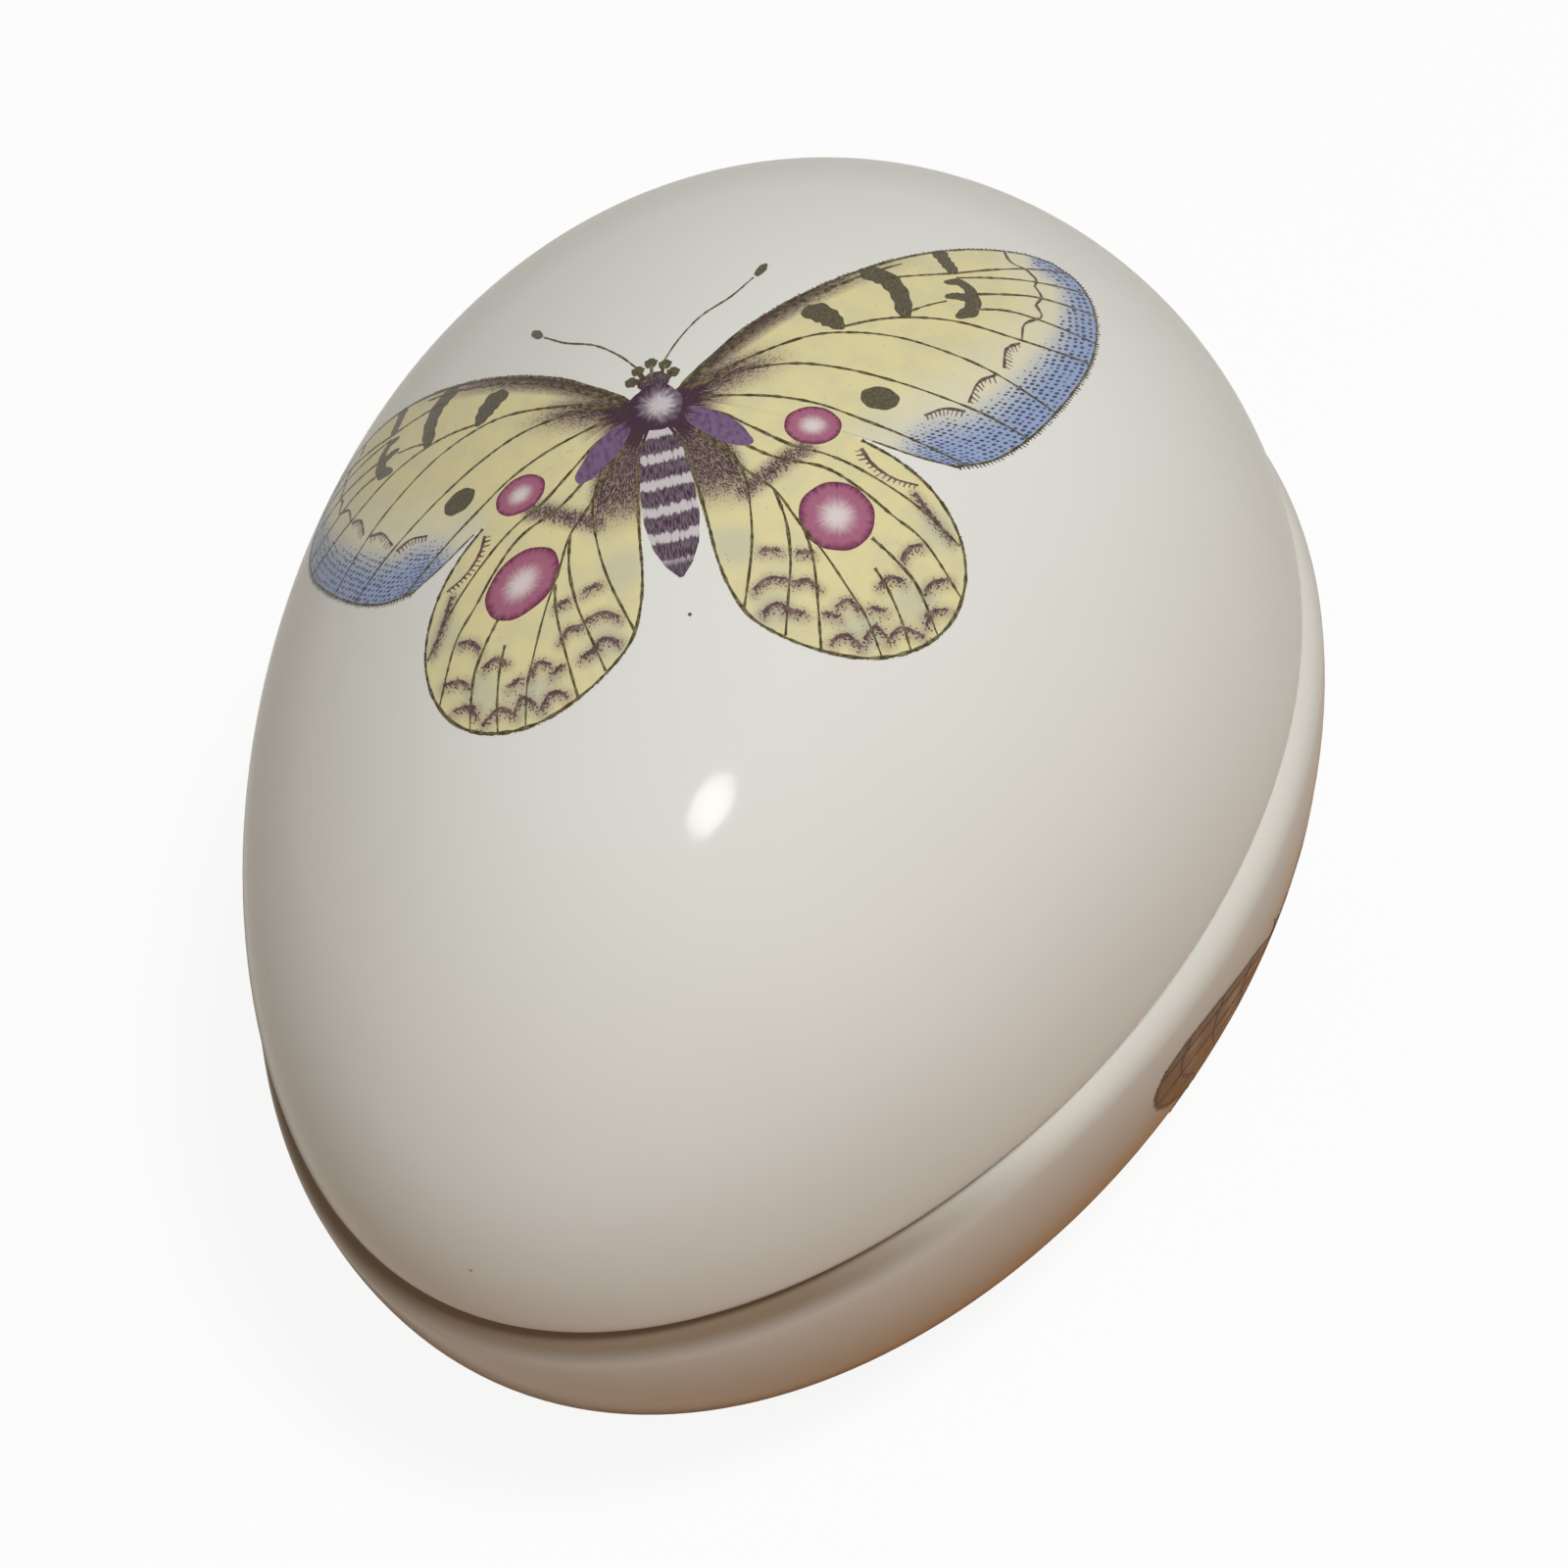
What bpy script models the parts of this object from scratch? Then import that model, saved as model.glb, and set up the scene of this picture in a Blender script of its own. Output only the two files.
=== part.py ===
"""Porcelain trinket box in the shape of a lying egg: a bowl with a flat foot and a lift-off domed lid.

Metres, +Z up. The long axis is X with the blunt end at +X, and the foot stands on the XY plane.
Each form is a turned section, pressed from round to egg-shaped by a cage of its own that is
narrower across than along and fuller at the blunt end. Walls and fits are the same all round,
because a form that lies inside another is turned and pressed to smaller sizes in both directions.
"""

import math

import bpy

# Lid, over the glaze
LID_LENGTH = 0.0880
LID_WIDTH = 0.0684
LID_HEIGHT = 0.0355
LID_WALL = 0.0025
LID_CROWN_WALL = 0.0030
LID_EDGE_ROUND = 0.0014
LID_INSIDE_ROUND = 0.0006

# Share by which the blunt end is fuller, and the narrow end slimmer, than the middle
EGG_TAPER = 0.11

# Base, from the foot up to the ledge that carries the lid
BASE_HEIGHT = 0.0300
SHOULDER_REACH = 0.0010
SHOULDER_ROUND = 0.0024
BOWL_DEPTH = 0.0390
FOOT_ROUND = 0.0032
FOOT_RING_WIDTH = 0.0036
FOOT_RECESS = 0.0008
RECESS_SLOPE = 0.0012

# Flange inside the ledge that keeps the lid in place
FLANGE_HEIGHT = 0.0032
FLANGE_WALL = 0.0018
FLANGE_ROUND = 0.0006
FLANGE_ROOT = 0.0020

# Well inside the base
FLOOR_WALL = 0.0034
WELL_STRAIGHT = 0.0030
WELL_DEPTH = 0.0350
WELL_CORNER = 0.0060

# Fits
LID_CLEARANCE = 0.0006
SEAT_GAP = 0.0003

# How far a cutter runs past the face that it opens
CUT_PAST = 0.0005

# Where a cutter's flare stops, in degrees short of level, so that it crosses the face cleanly
FLARE_SHORT = 12

# Fineness of the facets
TURN_STEPS = 64
DOME_STEPS = 15
BOWL_STEPS = 9
CORNER_STEPS = 4

# How far each form lies inside the lid's outline, and what follows from it
LID_HOLLOW_INSET = LID_WALL
FLANGE_INSET = LID_HOLLOW_INSET + LID_CLEARANCE
WELL_INSET = FLANGE_INSET + FLANGE_WALL
LID_REACH = LID_LENGTH / 2
LID_SIDE = LID_WIDTH / 2
BASE_REACH = LID_REACH + SHOULDER_REACH
WELL_REACH = LID_REACH - WELL_INSET
FLANGE_REACH = LID_REACH - FLANGE_INSET
FLANGE_TOP = BASE_HEIGHT + FLANGE_HEIGHT
WIDEST_LEVEL = BASE_HEIGHT - SHOULDER_ROUND
FLOOR_LEVEL = FOOT_RECESS + FLOOR_WALL
LID_LEVEL = BASE_HEIGHT + SEAT_GAP
CAGE_SIZE = 2 * (BASE_REACH + BASE_HEIGHT)


def clear_scene():
    for thing in list(bpy.data.objects):
        bpy.data.objects.remove(thing)


def new_collection(name):
    made = bpy.data.collections.new(name)
    bpy.context.scene.collection.children.link(made)
    return made


def arc(reach, level, radius, start, end):
    """Points on a round corner about (reach, level), from one angle to another in degrees."""
    points = []
    for step in range(CORNER_STEPS + 1):
        angle = math.radians(start + (end - start) * step / CORNER_STEPS)
        points.append((reach + radius * math.cos(angle), level + radius * math.sin(angle)))
    return points


def ellipse_reach(reach, height, rise):
    """How far out an ellipse is at this height above, or depth below, its widest level."""
    return reach * math.sqrt(1 - (rise / height) ** 2)


def dome(reach, height, low):
    """Points down a dome from its crown on the axis to the height where its edge begins."""
    last = math.asin(low / height)
    points = []
    for step in range(DOME_STEPS + 1):
        angle = math.pi / 2 + (last - math.pi / 2) * step / DOME_STEPS
        points.append((reach * math.cos(angle), height * math.sin(angle)))
    points[0] = (0, height)
    return points


def bowl(reach, depth, level, low):
    """Points down a bowl's side from its widest level to where its corner begins."""
    last = math.asin((level - low) / depth)
    points = []
    for step in range(BOWL_STEPS + 1):
        angle = last * step / BOWL_STEPS
        points.append((reach * math.cos(angle), level - depth * math.sin(angle)))
    return points


def bowl_corner(reach, depth, level, low, radius):
    """Points of the soft corner that leads from a bowl's side into the flat at height low."""
    top = low + radius
    sink = level - top
    start = ellipse_reach(reach, depth, sink)
    lean = reach ** 2 * sink / (depth ** 2 * start)
    knee = start - lean * radius
    end = knee - radius
    points = []
    for step in range(1, CORNER_STEPS + 1):
        share = step / CORNER_STEPS
        out = (1 - share) ** 2 * start + 2 * share * (1 - share) * knee + share ** 2 * end
        points.append((out, top + radius * ((1 - share) ** 2 - 1)))
    return points


def flare_end(point, drop):
    """The point where a flare that stopped short of level has gone on by this much in height."""
    lean = math.tan(math.radians(FLARE_SHORT))
    return (point[0] + abs(drop) / lean, point[1] + drop)


def lid_form_section():
    """Outside of the lid about its own rim: crown, dome, rounded edge and underside."""
    edge_reach = ellipse_reach(LID_REACH, LID_HEIGHT, LID_EDGE_ROUND)
    outside = dome(LID_REACH, LID_HEIGHT, LID_EDGE_ROUND)
    edge = arc(edge_reach - LID_EDGE_ROUND, LID_EDGE_ROUND, LID_EDGE_ROUND, 0, -90)
    return outside + edge[1:] + [(0, 0)]


def lid_hollow_section():
    """Hollow of the lid, flared at the rim so that the rim's inside edge is round."""
    reach = LID_REACH - LID_HOLLOW_INSET
    inside = dome(reach, LID_HEIGHT - LID_CROWN_WALL, LID_INSIDE_ROUND)
    centre = inside[-1][0] + LID_INSIDE_ROUND
    flare = arc(centre, LID_INSIDE_ROUND, LID_INSIDE_ROUND, 180, 270 - FLARE_SHORT)
    mouth = flare_end(flare[-1], -CUT_PAST)
    return inside + flare[1:] + [mouth, (0, mouth[1])]


def base_form_section():
    """Outside of the base: ledge, rounded shoulder, bowl, foot ring and the recess inside it."""
    shoulder = arc(BASE_REACH - SHOULDER_ROUND, WIDEST_LEVEL, SHOULDER_ROUND, 90, 0)
    side = bowl(BASE_REACH, BOWL_DEPTH, WIDEST_LEVEL, FOOT_ROUND)
    foot = bowl_corner(BASE_REACH, BOWL_DEPTH, WIDEST_LEVEL, 0, FOOT_ROUND)
    ring_inside = foot[-1][0] - FOOT_RING_WIDTH
    recess = [(ring_inside, 0), (ring_inside - RECESS_SLOPE, FOOT_RECESS), (0, FOOT_RECESS)]
    return [(0, BASE_HEIGHT)] + shoulder + side[1:] + foot + recess


def flange_section():
    """The flange as a plug rooted in the base. The well opens it."""
    centre = FLANGE_REACH - FLANGE_ROUND
    edge = arc(centre, FLANGE_TOP - FLANGE_ROUND, FLANGE_ROUND, 90, 0)
    root = BASE_HEIGHT - FLANGE_ROOT
    return [(0, FLANGE_TOP)] + edge + [(FLANGE_REACH, root), (0, root)]


def well_section():
    """The well, from a flare that rounds the flange's inside edge down to the floor."""
    centre = WELL_REACH + FLANGE_ROUND
    flare = arc(centre, FLANGE_TOP - FLANGE_ROUND, FLANGE_ROUND, 90 + FLARE_SHORT, 180)
    mouth = flare_end(flare[0], CUT_PAST)
    top = BASE_HEIGHT - WELL_STRAIGHT
    wall = bowl(WELL_REACH, WELL_DEPTH, top, FLOOR_LEVEL + WELL_CORNER)
    corner = bowl_corner(WELL_REACH, WELL_DEPTH, top, FLOOR_LEVEL, WELL_CORNER)
    return [(0, mouth[1]), mouth] + flare + wall + corner + [(0, FLOOR_LEVEL)]


def egg_cage(name, inset, level, taper_height, collection):
    """An eight-point cage that presses a round form, this far inside the lid's outline, to the egg."""
    data = bpy.data.lattices.new(name)
    data.points_u = data.points_v = data.points_w = 2
    data.interpolation_type_u = "KEY_LINEAR"
    data.interpolation_type_v = "KEY_LINEAR"
    data.interpolation_type_w = "KEY_LINEAR"
    cage = bpy.data.objects.new(name, data)
    cage.location = (0, 0, level)
    cage.scale = (CAGE_SIZE, CAGE_SIZE, CAGE_SIZE)
    collection.objects.link(cage)
    narrowing = (LID_SIDE - inset) / (LID_REACH - inset)
    for point in data.points:
        along, across, up = point.co
        fullness = 1 + EGG_TAPER * along * CAGE_SIZE / LID_REACH
        rise = fullness if taper_height else 1
        point.co_deform = (along, across * narrowing * fullness, up * rise)
    return cage


def turned_form(name, section, level, cage, collection):
    """A section turned about the upright axis, then pressed by its cage."""
    mesh = bpy.data.meshes.new(name)
    corners = [(reach, 0, height) for reach, height in section]
    edges = [(index, index + 1) for index in range(len(corners) - 1)]
    mesh.from_pydata(corners, edges, [])
    form = bpy.data.objects.new(name, mesh)
    form.location = (0, 0, level)
    collection.objects.link(form)
    turn = form.modifiers.new("turn", "SCREW")
    turn.axis = "Z"
    turn.angle = math.tau
    turn.steps = TURN_STEPS
    turn.render_steps = TURN_STEPS
    turn.use_merge_vertices = True
    turn.merge_threshold = 0.00001
    turn.use_smooth_shade = True
    press = form.modifiers.new("press to egg", "LATTICE")
    press.object = cage
    return form


def combine(piece, other, operation, name):
    """Joins another form to a piece, or cuts it away."""
    other.hide_render = True
    other.display_type = "WIRE"
    step = piece.modifiers.new(name, "BOOLEAN")
    step.operation = operation
    step.solver = "EXACT"
    step.object = other


def glazed_porcelain(name, colour, roughness):
    material = bpy.data.materials.new(name)
    material.use_nodes = True
    shader = material.node_tree.nodes["Principled BSDF"]
    shader.inputs["Base Color"].default_value = (*colour, 1)
    shader.inputs["Roughness"].default_value = roughness
    shader.inputs["Metallic"].default_value = 0
    return material


def make_base(box, helpers):
    outline = egg_cage("base_cage", -SHOULDER_REACH, 0, False, helpers)
    base = turned_form("base", base_form_section(), 0, outline, box)
    base.data.materials.append(glazed_porcelain("base_glaze", (0.79, 0.76, 0.72), 0.12))
    ring = egg_cage("flange_cage", FLANGE_INSET, 0, False, helpers)
    flange = turned_form("flange_plug", flange_section(), 0, ring, helpers)
    combine(base, flange, "UNION", "flange")
    inside = egg_cage("well_cage", WELL_INSET, 0, False, helpers)
    well = turned_form("well_cutter", well_section(), 0, inside, helpers)
    combine(base, well, "DIFFERENCE", "well")


def make_lid(box, helpers):
    outline = egg_cage("lid_cage", 0, LID_LEVEL, True, helpers)
    lid = turned_form("lid", lid_form_section(), LID_LEVEL, outline, box)
    lid.data.materials.append(glazed_porcelain("lid_glaze", (0.81, 0.78, 0.75), 0.10))
    inside = egg_cage("hollow_cage", LID_HOLLOW_INSET, LID_LEVEL, True, helpers)
    hollow = turned_form("hollow_cutter", lid_hollow_section(), LID_LEVEL, inside, helpers)
    combine(lid, hollow, "DIFFERENCE", "hollow")


def main():
    clear_scene()
    box = new_collection("trinket_box")
    helpers = new_collection("cages_and_cutters")
    helpers.hide_render = True
    make_base(box, helpers)
    make_lid(box, helpers)


main()
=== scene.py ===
import math

import bpy
import numpy as np
from mathutils import Matrix, Vector


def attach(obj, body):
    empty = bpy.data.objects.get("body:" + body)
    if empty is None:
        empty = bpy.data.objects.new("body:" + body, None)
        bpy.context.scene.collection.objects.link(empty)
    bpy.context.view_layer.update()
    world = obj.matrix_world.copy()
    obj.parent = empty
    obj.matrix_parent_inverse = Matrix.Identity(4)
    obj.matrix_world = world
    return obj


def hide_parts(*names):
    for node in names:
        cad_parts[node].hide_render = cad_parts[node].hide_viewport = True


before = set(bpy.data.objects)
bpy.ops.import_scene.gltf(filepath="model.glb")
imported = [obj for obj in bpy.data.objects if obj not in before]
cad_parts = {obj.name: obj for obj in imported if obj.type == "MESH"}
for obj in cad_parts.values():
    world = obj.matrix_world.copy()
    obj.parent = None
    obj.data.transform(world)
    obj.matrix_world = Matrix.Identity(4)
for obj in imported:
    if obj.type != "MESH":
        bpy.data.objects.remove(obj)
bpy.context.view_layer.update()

MM = 0.001

# The box's own sizes, as the solids have them
LID_REACH = 44.0 * MM
LID_SIDE = 34.2 * MM
LID_HEIGHT = 35.5 * MM
PRINT_ROOM = 0.08 * MM
LID_TOP = LID_HEIGHT - PRINT_ROOM
LID_WALL = 2.5 * MM
LID_CROWN_WALL = 3.0 * MM
LID_EDGE_ROUND = 1.4 * MM
LID_INSIDE_ROUND = 0.6 * MM
EGG_TAPER = 0.11
BASE_HEIGHT = 30.0 * MM
SHOULDER_REACH = 1.0 * MM
SHOULDER_ROUND = 2.4 * MM
BOWL_DEPTH = 39.0 * MM
FOOT_ROUND = 3.2 * MM
FOOT_RING_WIDTH = 3.6 * MM
FOOT_RECESS = 0.8 * MM
RECESS_SLOPE = 1.2 * MM
FLANGE_HEIGHT = 3.2 * MM
FLANGE_WALL = 1.8 * MM
FLANGE_ROUND = 0.6 * MM
FLOOR_LEVEL = 4.2 * MM
WELL_STRAIGHT = 3.0 * MM
WELL_DEPTH = 35.0 * MM
WELL_CORNER = 6.0 * MM
LID_CLEARANCE = 0.6 * MM
LID_LEVEL = 30.3 * MM

FLANGE_INSET = LID_WALL + LID_CLEARANCE
WELL_INSET = FLANGE_INSET + FLANGE_WALL
FLANGE_TOP = BASE_HEIGHT + FLANGE_HEIGHT
WIDEST_LEVEL = BASE_HEIGHT - SHOULDER_ROUND

# Side of the cage that presses a wall, wider than the box
CAGE_SIZE = 0.2

# Fineness of the walls
SPIN_STEPS = 192
DOME_STEPS = 60
HOLLOW_STEPS = 36
BOWL_STEPS = 30
WELL_STEPS = 24
CORNER_STEPS = 10
LIP_STEPS = 6
WELD_REACH = 0.002 * MM
RING_REACH = 0.1 * MM
CREASE_ANGLE = math.radians(40)


# Sections of the porcelain walls, as (reach, height) points

def arc(reach, level, radius, start, end, steps=CORNER_STEPS):
    turns = [math.radians(start + (end - start) * step / steps) for step in range(steps + 1)]
    return [(reach + radius * math.cos(turn), level + radius * math.sin(turn)) for turn in turns]


def dome(reach, height, low, steps):
    last = math.asin(low / height)
    turns = [math.pi / 2 + (last - math.pi / 2) * step / steps for step in range(1, steps + 1)]
    return [(0.0, height)] + [(reach * math.cos(turn), height * math.sin(turn)) for turn in turns]


def bowl(reach, depth, level, low, steps):
    last = math.asin((level - low) / depth)
    turns = [last * step / steps for step in range(steps + 1)]
    return [(reach * math.cos(turn), level - depth * math.sin(turn)) for turn in turns]


def bowl_corner(reach, depth, level, low, radius):
    top = low + radius
    sink = level - top
    start = reach * math.sqrt(1 - (sink / depth) ** 2)
    knee = start - reach ** 2 * sink / (depth ** 2 * start) * radius
    end = knee - radius
    points = []
    for step in range(1, CORNER_STEPS + 1):
        share = step / CORNER_STEPS
        out = (1 - share) ** 2 * start + 2 * share * (1 - share) * knee + share ** 2 * end
        points.append((out, top + radius * ((1 - share) ** 2 - 1)))
    return points


def lid_outside():
    edge_reach = LID_REACH * math.sqrt(1 - (LID_EDGE_ROUND / LID_TOP) ** 2)
    edge = arc(edge_reach - LID_EDGE_ROUND, LID_EDGE_ROUND, LID_EDGE_ROUND, 0, -90)
    return dome(LID_REACH, LID_TOP, LID_EDGE_ROUND, DOME_STEPS) + edge[1:]


def lid_inside():
    height = LID_HEIGHT - LID_CROWN_WALL
    inside = dome(LID_REACH - LID_WALL, height, LID_INSIDE_ROUND, HOLLOW_STEPS)
    centre = inside[-1][0] + LID_INSIDE_ROUND
    lip = arc(centre, LID_INSIDE_ROUND, LID_INSIDE_ROUND, 180, 270, LIP_STEPS)
    return inside + lip[1:]


def base_outside():
    reach = LID_REACH + SHOULDER_REACH
    shoulder = arc(reach - SHOULDER_ROUND, WIDEST_LEVEL, SHOULDER_ROUND, 90, 0)
    side = bowl(reach, BOWL_DEPTH, WIDEST_LEVEL, FOOT_ROUND, BOWL_STEPS)
    foot = bowl_corner(reach, BOWL_DEPTH, WIDEST_LEVEL, 0.0, FOOT_ROUND)
    ring = foot[-1][0] - FOOT_RING_WIDTH
    recess = [(ring, 0.0), (ring - RECESS_SLOPE, FOOT_RECESS), (0.0, FOOT_RECESS)]
    return shoulder + side[1:] + foot + recess


def flange_outside():
    reach = LID_REACH - FLANGE_INSET
    top = arc(reach - FLANGE_ROUND, FLANGE_TOP - FLANGE_ROUND, FLANGE_ROUND, 90, 0, LIP_STEPS)
    return top + [(reach, BASE_HEIGHT)]


def well_inside():
    reach = LID_REACH - WELL_INSET
    lip = arc(reach + FLANGE_ROUND, FLANGE_TOP - FLANGE_ROUND, FLANGE_ROUND, 90, 180, LIP_STEPS)
    level = BASE_HEIGHT - WELL_STRAIGHT
    wall = bowl(reach, WELL_DEPTH, level, FLOOR_LEVEL + WELL_CORNER, WELL_STEPS)
    corner = bowl_corner(reach, WELL_DEPTH, level, FLOOR_LEVEL, WELL_CORNER)
    return lip + wall + corner + [(0.0, FLOOR_LEVEL)]


# Modelling steps

def clear_selection():
    if bpy.context.mode != "OBJECT":
        bpy.ops.object.mode_set(mode="OBJECT")
    bpy.ops.object.select_all(action="DESELECT")


def pick(*pieces):
    clear_selection()
    for piece in pieces:
        piece.select_set(True)
    bpy.context.view_layer.objects.active = pieces[0]


def on_all(step, **settings):
    """Runs one mesh step on every point of the active piece."""
    bpy.ops.object.mode_set(mode="EDIT")
    bpy.ops.mesh.select_all(action="SELECT")
    step(**settings)
    bpy.ops.object.mode_set(mode="OBJECT")


def spun_wall(name, section, level):
    """Draws a section by extruding one point, then spins it about the upright axis."""
    clear_selection()
    bpy.ops.mesh.primitive_plane_add(size=MM, location=(0, 0, 0))
    wall = bpy.context.object
    wall.name = name
    bpy.ops.object.mode_set(mode="EDIT")
    bpy.ops.mesh.select_mode(type="VERT")
    bpy.ops.mesh.merge(type="CENTER")
    first = Vector((section[0][0], 0, section[0][1] + level))
    bpy.ops.transform.translate(value=first)
    for start, end in zip(section[:-1], section[1:]):
        move = (end[0] - start[0], 0, end[1] - start[1])
        bpy.ops.mesh.extrude_region_move(TRANSFORM_OT_translate={"value": move})
    bpy.ops.mesh.select_all(action="SELECT")
    bpy.ops.mesh.spin(steps=SPIN_STEPS, angle=math.tau, center=(0, 0, 0), axis=(0, 0, 1))
    on_all(bpy.ops.mesh.remove_doubles, threshold=WELD_REACH)
    return wall


def press_to_egg(wall, inset, level, taper_height):
    """Presses a round wall that lies this far inside the lid's outline into the egg's shape."""
    clear_selection()
    bpy.ops.object.add(type="LATTICE", location=(0, 0, level))
    cage = bpy.context.object
    cage.scale = (CAGE_SIZE, CAGE_SIZE, CAGE_SIZE)
    for axis in "uvw":
        setattr(cage.data, "points_" + axis, 2)
        setattr(cage.data, "interpolation_type_" + axis, "KEY_LINEAR")
    narrowing = (LID_SIDE - inset) / (LID_REACH - inset)
    for point in cage.data.points:
        along, across, up = point.co
        fullness = 1 + EGG_TAPER * along * CAGE_SIZE / LID_REACH
        rise = fullness if taper_height else 1
        point.co_deform = (along, across * narrowing * fullness, up * rise)
    pick(wall)
    press = wall.modifiers.new("press", "LATTICE")
    press.object = cage
    bpy.ops.object.modifier_apply(modifier="press")
    bpy.data.objects.remove(cage)


def select_open_loops(piece, low, high):
    """Selects the open edge loops between two heights. The piece is in edit mode before and after."""
    bpy.ops.mesh.select_mode(type="EDGE")
    bpy.ops.mesh.select_all(action="DESELECT")
    bpy.ops.mesh.select_non_manifold(extend=False, use_wire=False, use_multi_face=False,
                                     use_non_contiguous=False, use_verts=False)
    bpy.ops.object.mode_set(mode="OBJECT")
    points = piece.data.vertices
    for edge in piece.data.edges:
        if edge.select:
            heights = [points[index].co.z for index in edge.vertices]
            edge.select = all(low < height < high for height in heights)
    bpy.ops.object.mode_set(mode="EDIT")


def join_walls(name, walls, levels):
    """Joins walls into one piece and fills the flat ring between the two open loops at each level."""
    pick(*walls)
    bpy.ops.object.join()
    piece = bpy.context.object
    piece.name = name
    for level in levels:
        bpy.ops.object.mode_set(mode="EDIT")
        select_open_loops(piece, level - RING_REACH, level + RING_REACH)
        bpy.ops.mesh.fill(use_beauty=True)
        bpy.ops.object.mode_set(mode="OBJECT")
    on_all(bpy.ops.mesh.normals_make_consistent, inside=False)
    bpy.ops.object.shade_smooth_by_angle(angle=CREASE_ANGLE)
    return piece


def make_lid():
    outside = spun_wall("lid_outside", lid_outside(), LID_LEVEL)
    press_to_egg(outside, 0, LID_LEVEL, True)
    inside = spun_wall("lid_inside", lid_inside(), LID_LEVEL)
    press_to_egg(inside, LID_WALL, LID_LEVEL, True)
    return join_walls("lid_shell", [outside, inside], [LID_LEVEL])


def make_base():
    outside = spun_wall("base_outside", base_outside(), 0)
    mark = outside.data.attributes.new("outside", "FLOAT", "POINT")
    mark.data.foreach_set("value", np.ones(len(outside.data.vertices), np.float32))
    press_to_egg(outside, -SHOULDER_REACH, 0, False)
    flange = spun_wall("flange_outside", flange_outside(), 0)
    press_to_egg(flange, FLANGE_INSET, 0, False)
    well = spun_wall("well_inside", well_inside(), 0)
    press_to_egg(well, WELL_INSET, 0, False)
    return join_walls("base_bowl", [outside, flange, well], [BASE_HEIGHT, FLANGE_TOP])


# Finishes

GLAZE_ROUGHNESS = 0.09
GLAZE_IOR = 1.5
GLAZE_SPECULAR = 0.15


class NodeSteps:
    """Small steps that a node tree is put together from. A source is a socket, a number or a colour."""

    def __init__(self, tree):
        self.nodes, self.links = tree.nodes, tree.links

    def feed(self, socket, source):
        if isinstance(source, bpy.types.NodeSocket):
            self.links.new(source, socket)
        elif isinstance(source, tuple):
            socket.default_value = (*source, 1)
        else:
            socket.default_value = source

    def step(self, kind, inputs, **settings):
        """Adds a node, feeds its inputs by name or number and gives its outputs."""
        node = self.nodes.new("ShaderNode" + kind)
        for name, value in settings.items():
            setattr(node, name, value)
        for socket, source in inputs.items():
            self.feed(node.inputs[socket], source)
        return node.outputs

    def coordinates(self, kind):
        return self.step("TexCoord", {})[kind]

    def parts(self, place):
        return self.step("SeparateXYZ", {"Vector": place})

    def along_way(self, place, way):
        """How far a place lies along a direction."""
        return self.step("VectorMath", {0: place, 1: way}, operation="DOT_PRODUCT")["Value"]

    def length(self, place):
        return self.step("VectorMath", {0: place}, operation="LENGTH")["Value"]

    def tint(self, name):
        return self.step("Attribute", {}, attribute_name=name)["Fac"]

    def math(self, operation, first, second=0.0):
        return self.step("Math", {0: first, 1: second}, operation=operation)["Value"]

    def plus(self, first, second):
        return self.math("ADD", first, second)

    def minus(self, first, second):
        return self.math("SUBTRACT", first, second)

    def times(self, first, second):
        return self.math("MULTIPLY", first, second)

    def ramp(self, source, low, high, shape="SMOOTHSTEP", start=0.0, end=1.0):
        """A value that goes from start to end as its source goes from low to high."""
        inputs = {"Value": source, "From Min": low, "From Max": high, "To Min": start, "To Max": end}
        return self.step("MapRange", inputs, interpolation_type=shape)["Result"]

    def slope(self, source, low, high, start=0.0, end=1.0):
        return self.ramp(source, low, high, "LINEAR", start, end)

    def place(self, x, y):
        return self.step("CombineXYZ", {"X": x, "Y": y})["Vector"]

    def grid(self, first, first_scale, second, second_scale):
        """A place given by two tints, each stretched by a scale."""
        return self.place(self.times(self.tint(first), first_scale),
                          self.times(self.tint(second), second_scale))

    def noise(self, place, scale, detail=2.0):
        return self.step("TexNoise", {"Vector": place, "Scale": scale, "Detail": detail})["Fac"]

    def dots(self, place, scale, scatter):
        """The distance to the nearest dot of a stipple, in its own spacing."""
        inputs = {"Vector": place, "Scale": scale, "Randomness": scatter}
        return self.step("TexVoronoi", inputs)["Distance"]

    def stipple(self, size, place, scale, scatter, bare, full):
        """Ink in dots of this size, from bare to full at these depths inside a dot."""
        return self.ramp(self.minus(size, self.dots(place, scale, scatter)), bare, full)

    def uneven(self, place):
        """Noise that goes about as far below zero as above it."""
        return self.minus(self.noise(place, 1.0), 0.5)

    def mix(self, share, first, second):
        return self.step("MixRGB", {"Fac": share, "Color1": first, "Color2": second})["Color"]

    def diffuse(self, colour):
        return self.step("BsdfDiffuse", {"Color": colour})["BSDF"]

    def mix_shaders(self, share, first, second):
        return self.step("MixShader", {0: share, 1: first, 2: second})["Shader"]

    def seen_share(self, mirrored_share):
        """1 for the camera's own rays, and this share for rays that gloss or glass sends on."""
        rays = self.step("LightPath", {})
        mirrored = self.math("MAXIMUM", rays["Is Glossy Ray"], rays["Is Transmission Ray"])
        return self.math("MAXIMUM", rays["Is Camera Ray"], self.times(mirrored, mirrored_share))


def coat(piece, finish):
    piece.data.materials.clear()
    piece.data.materials.append(finish)


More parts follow.
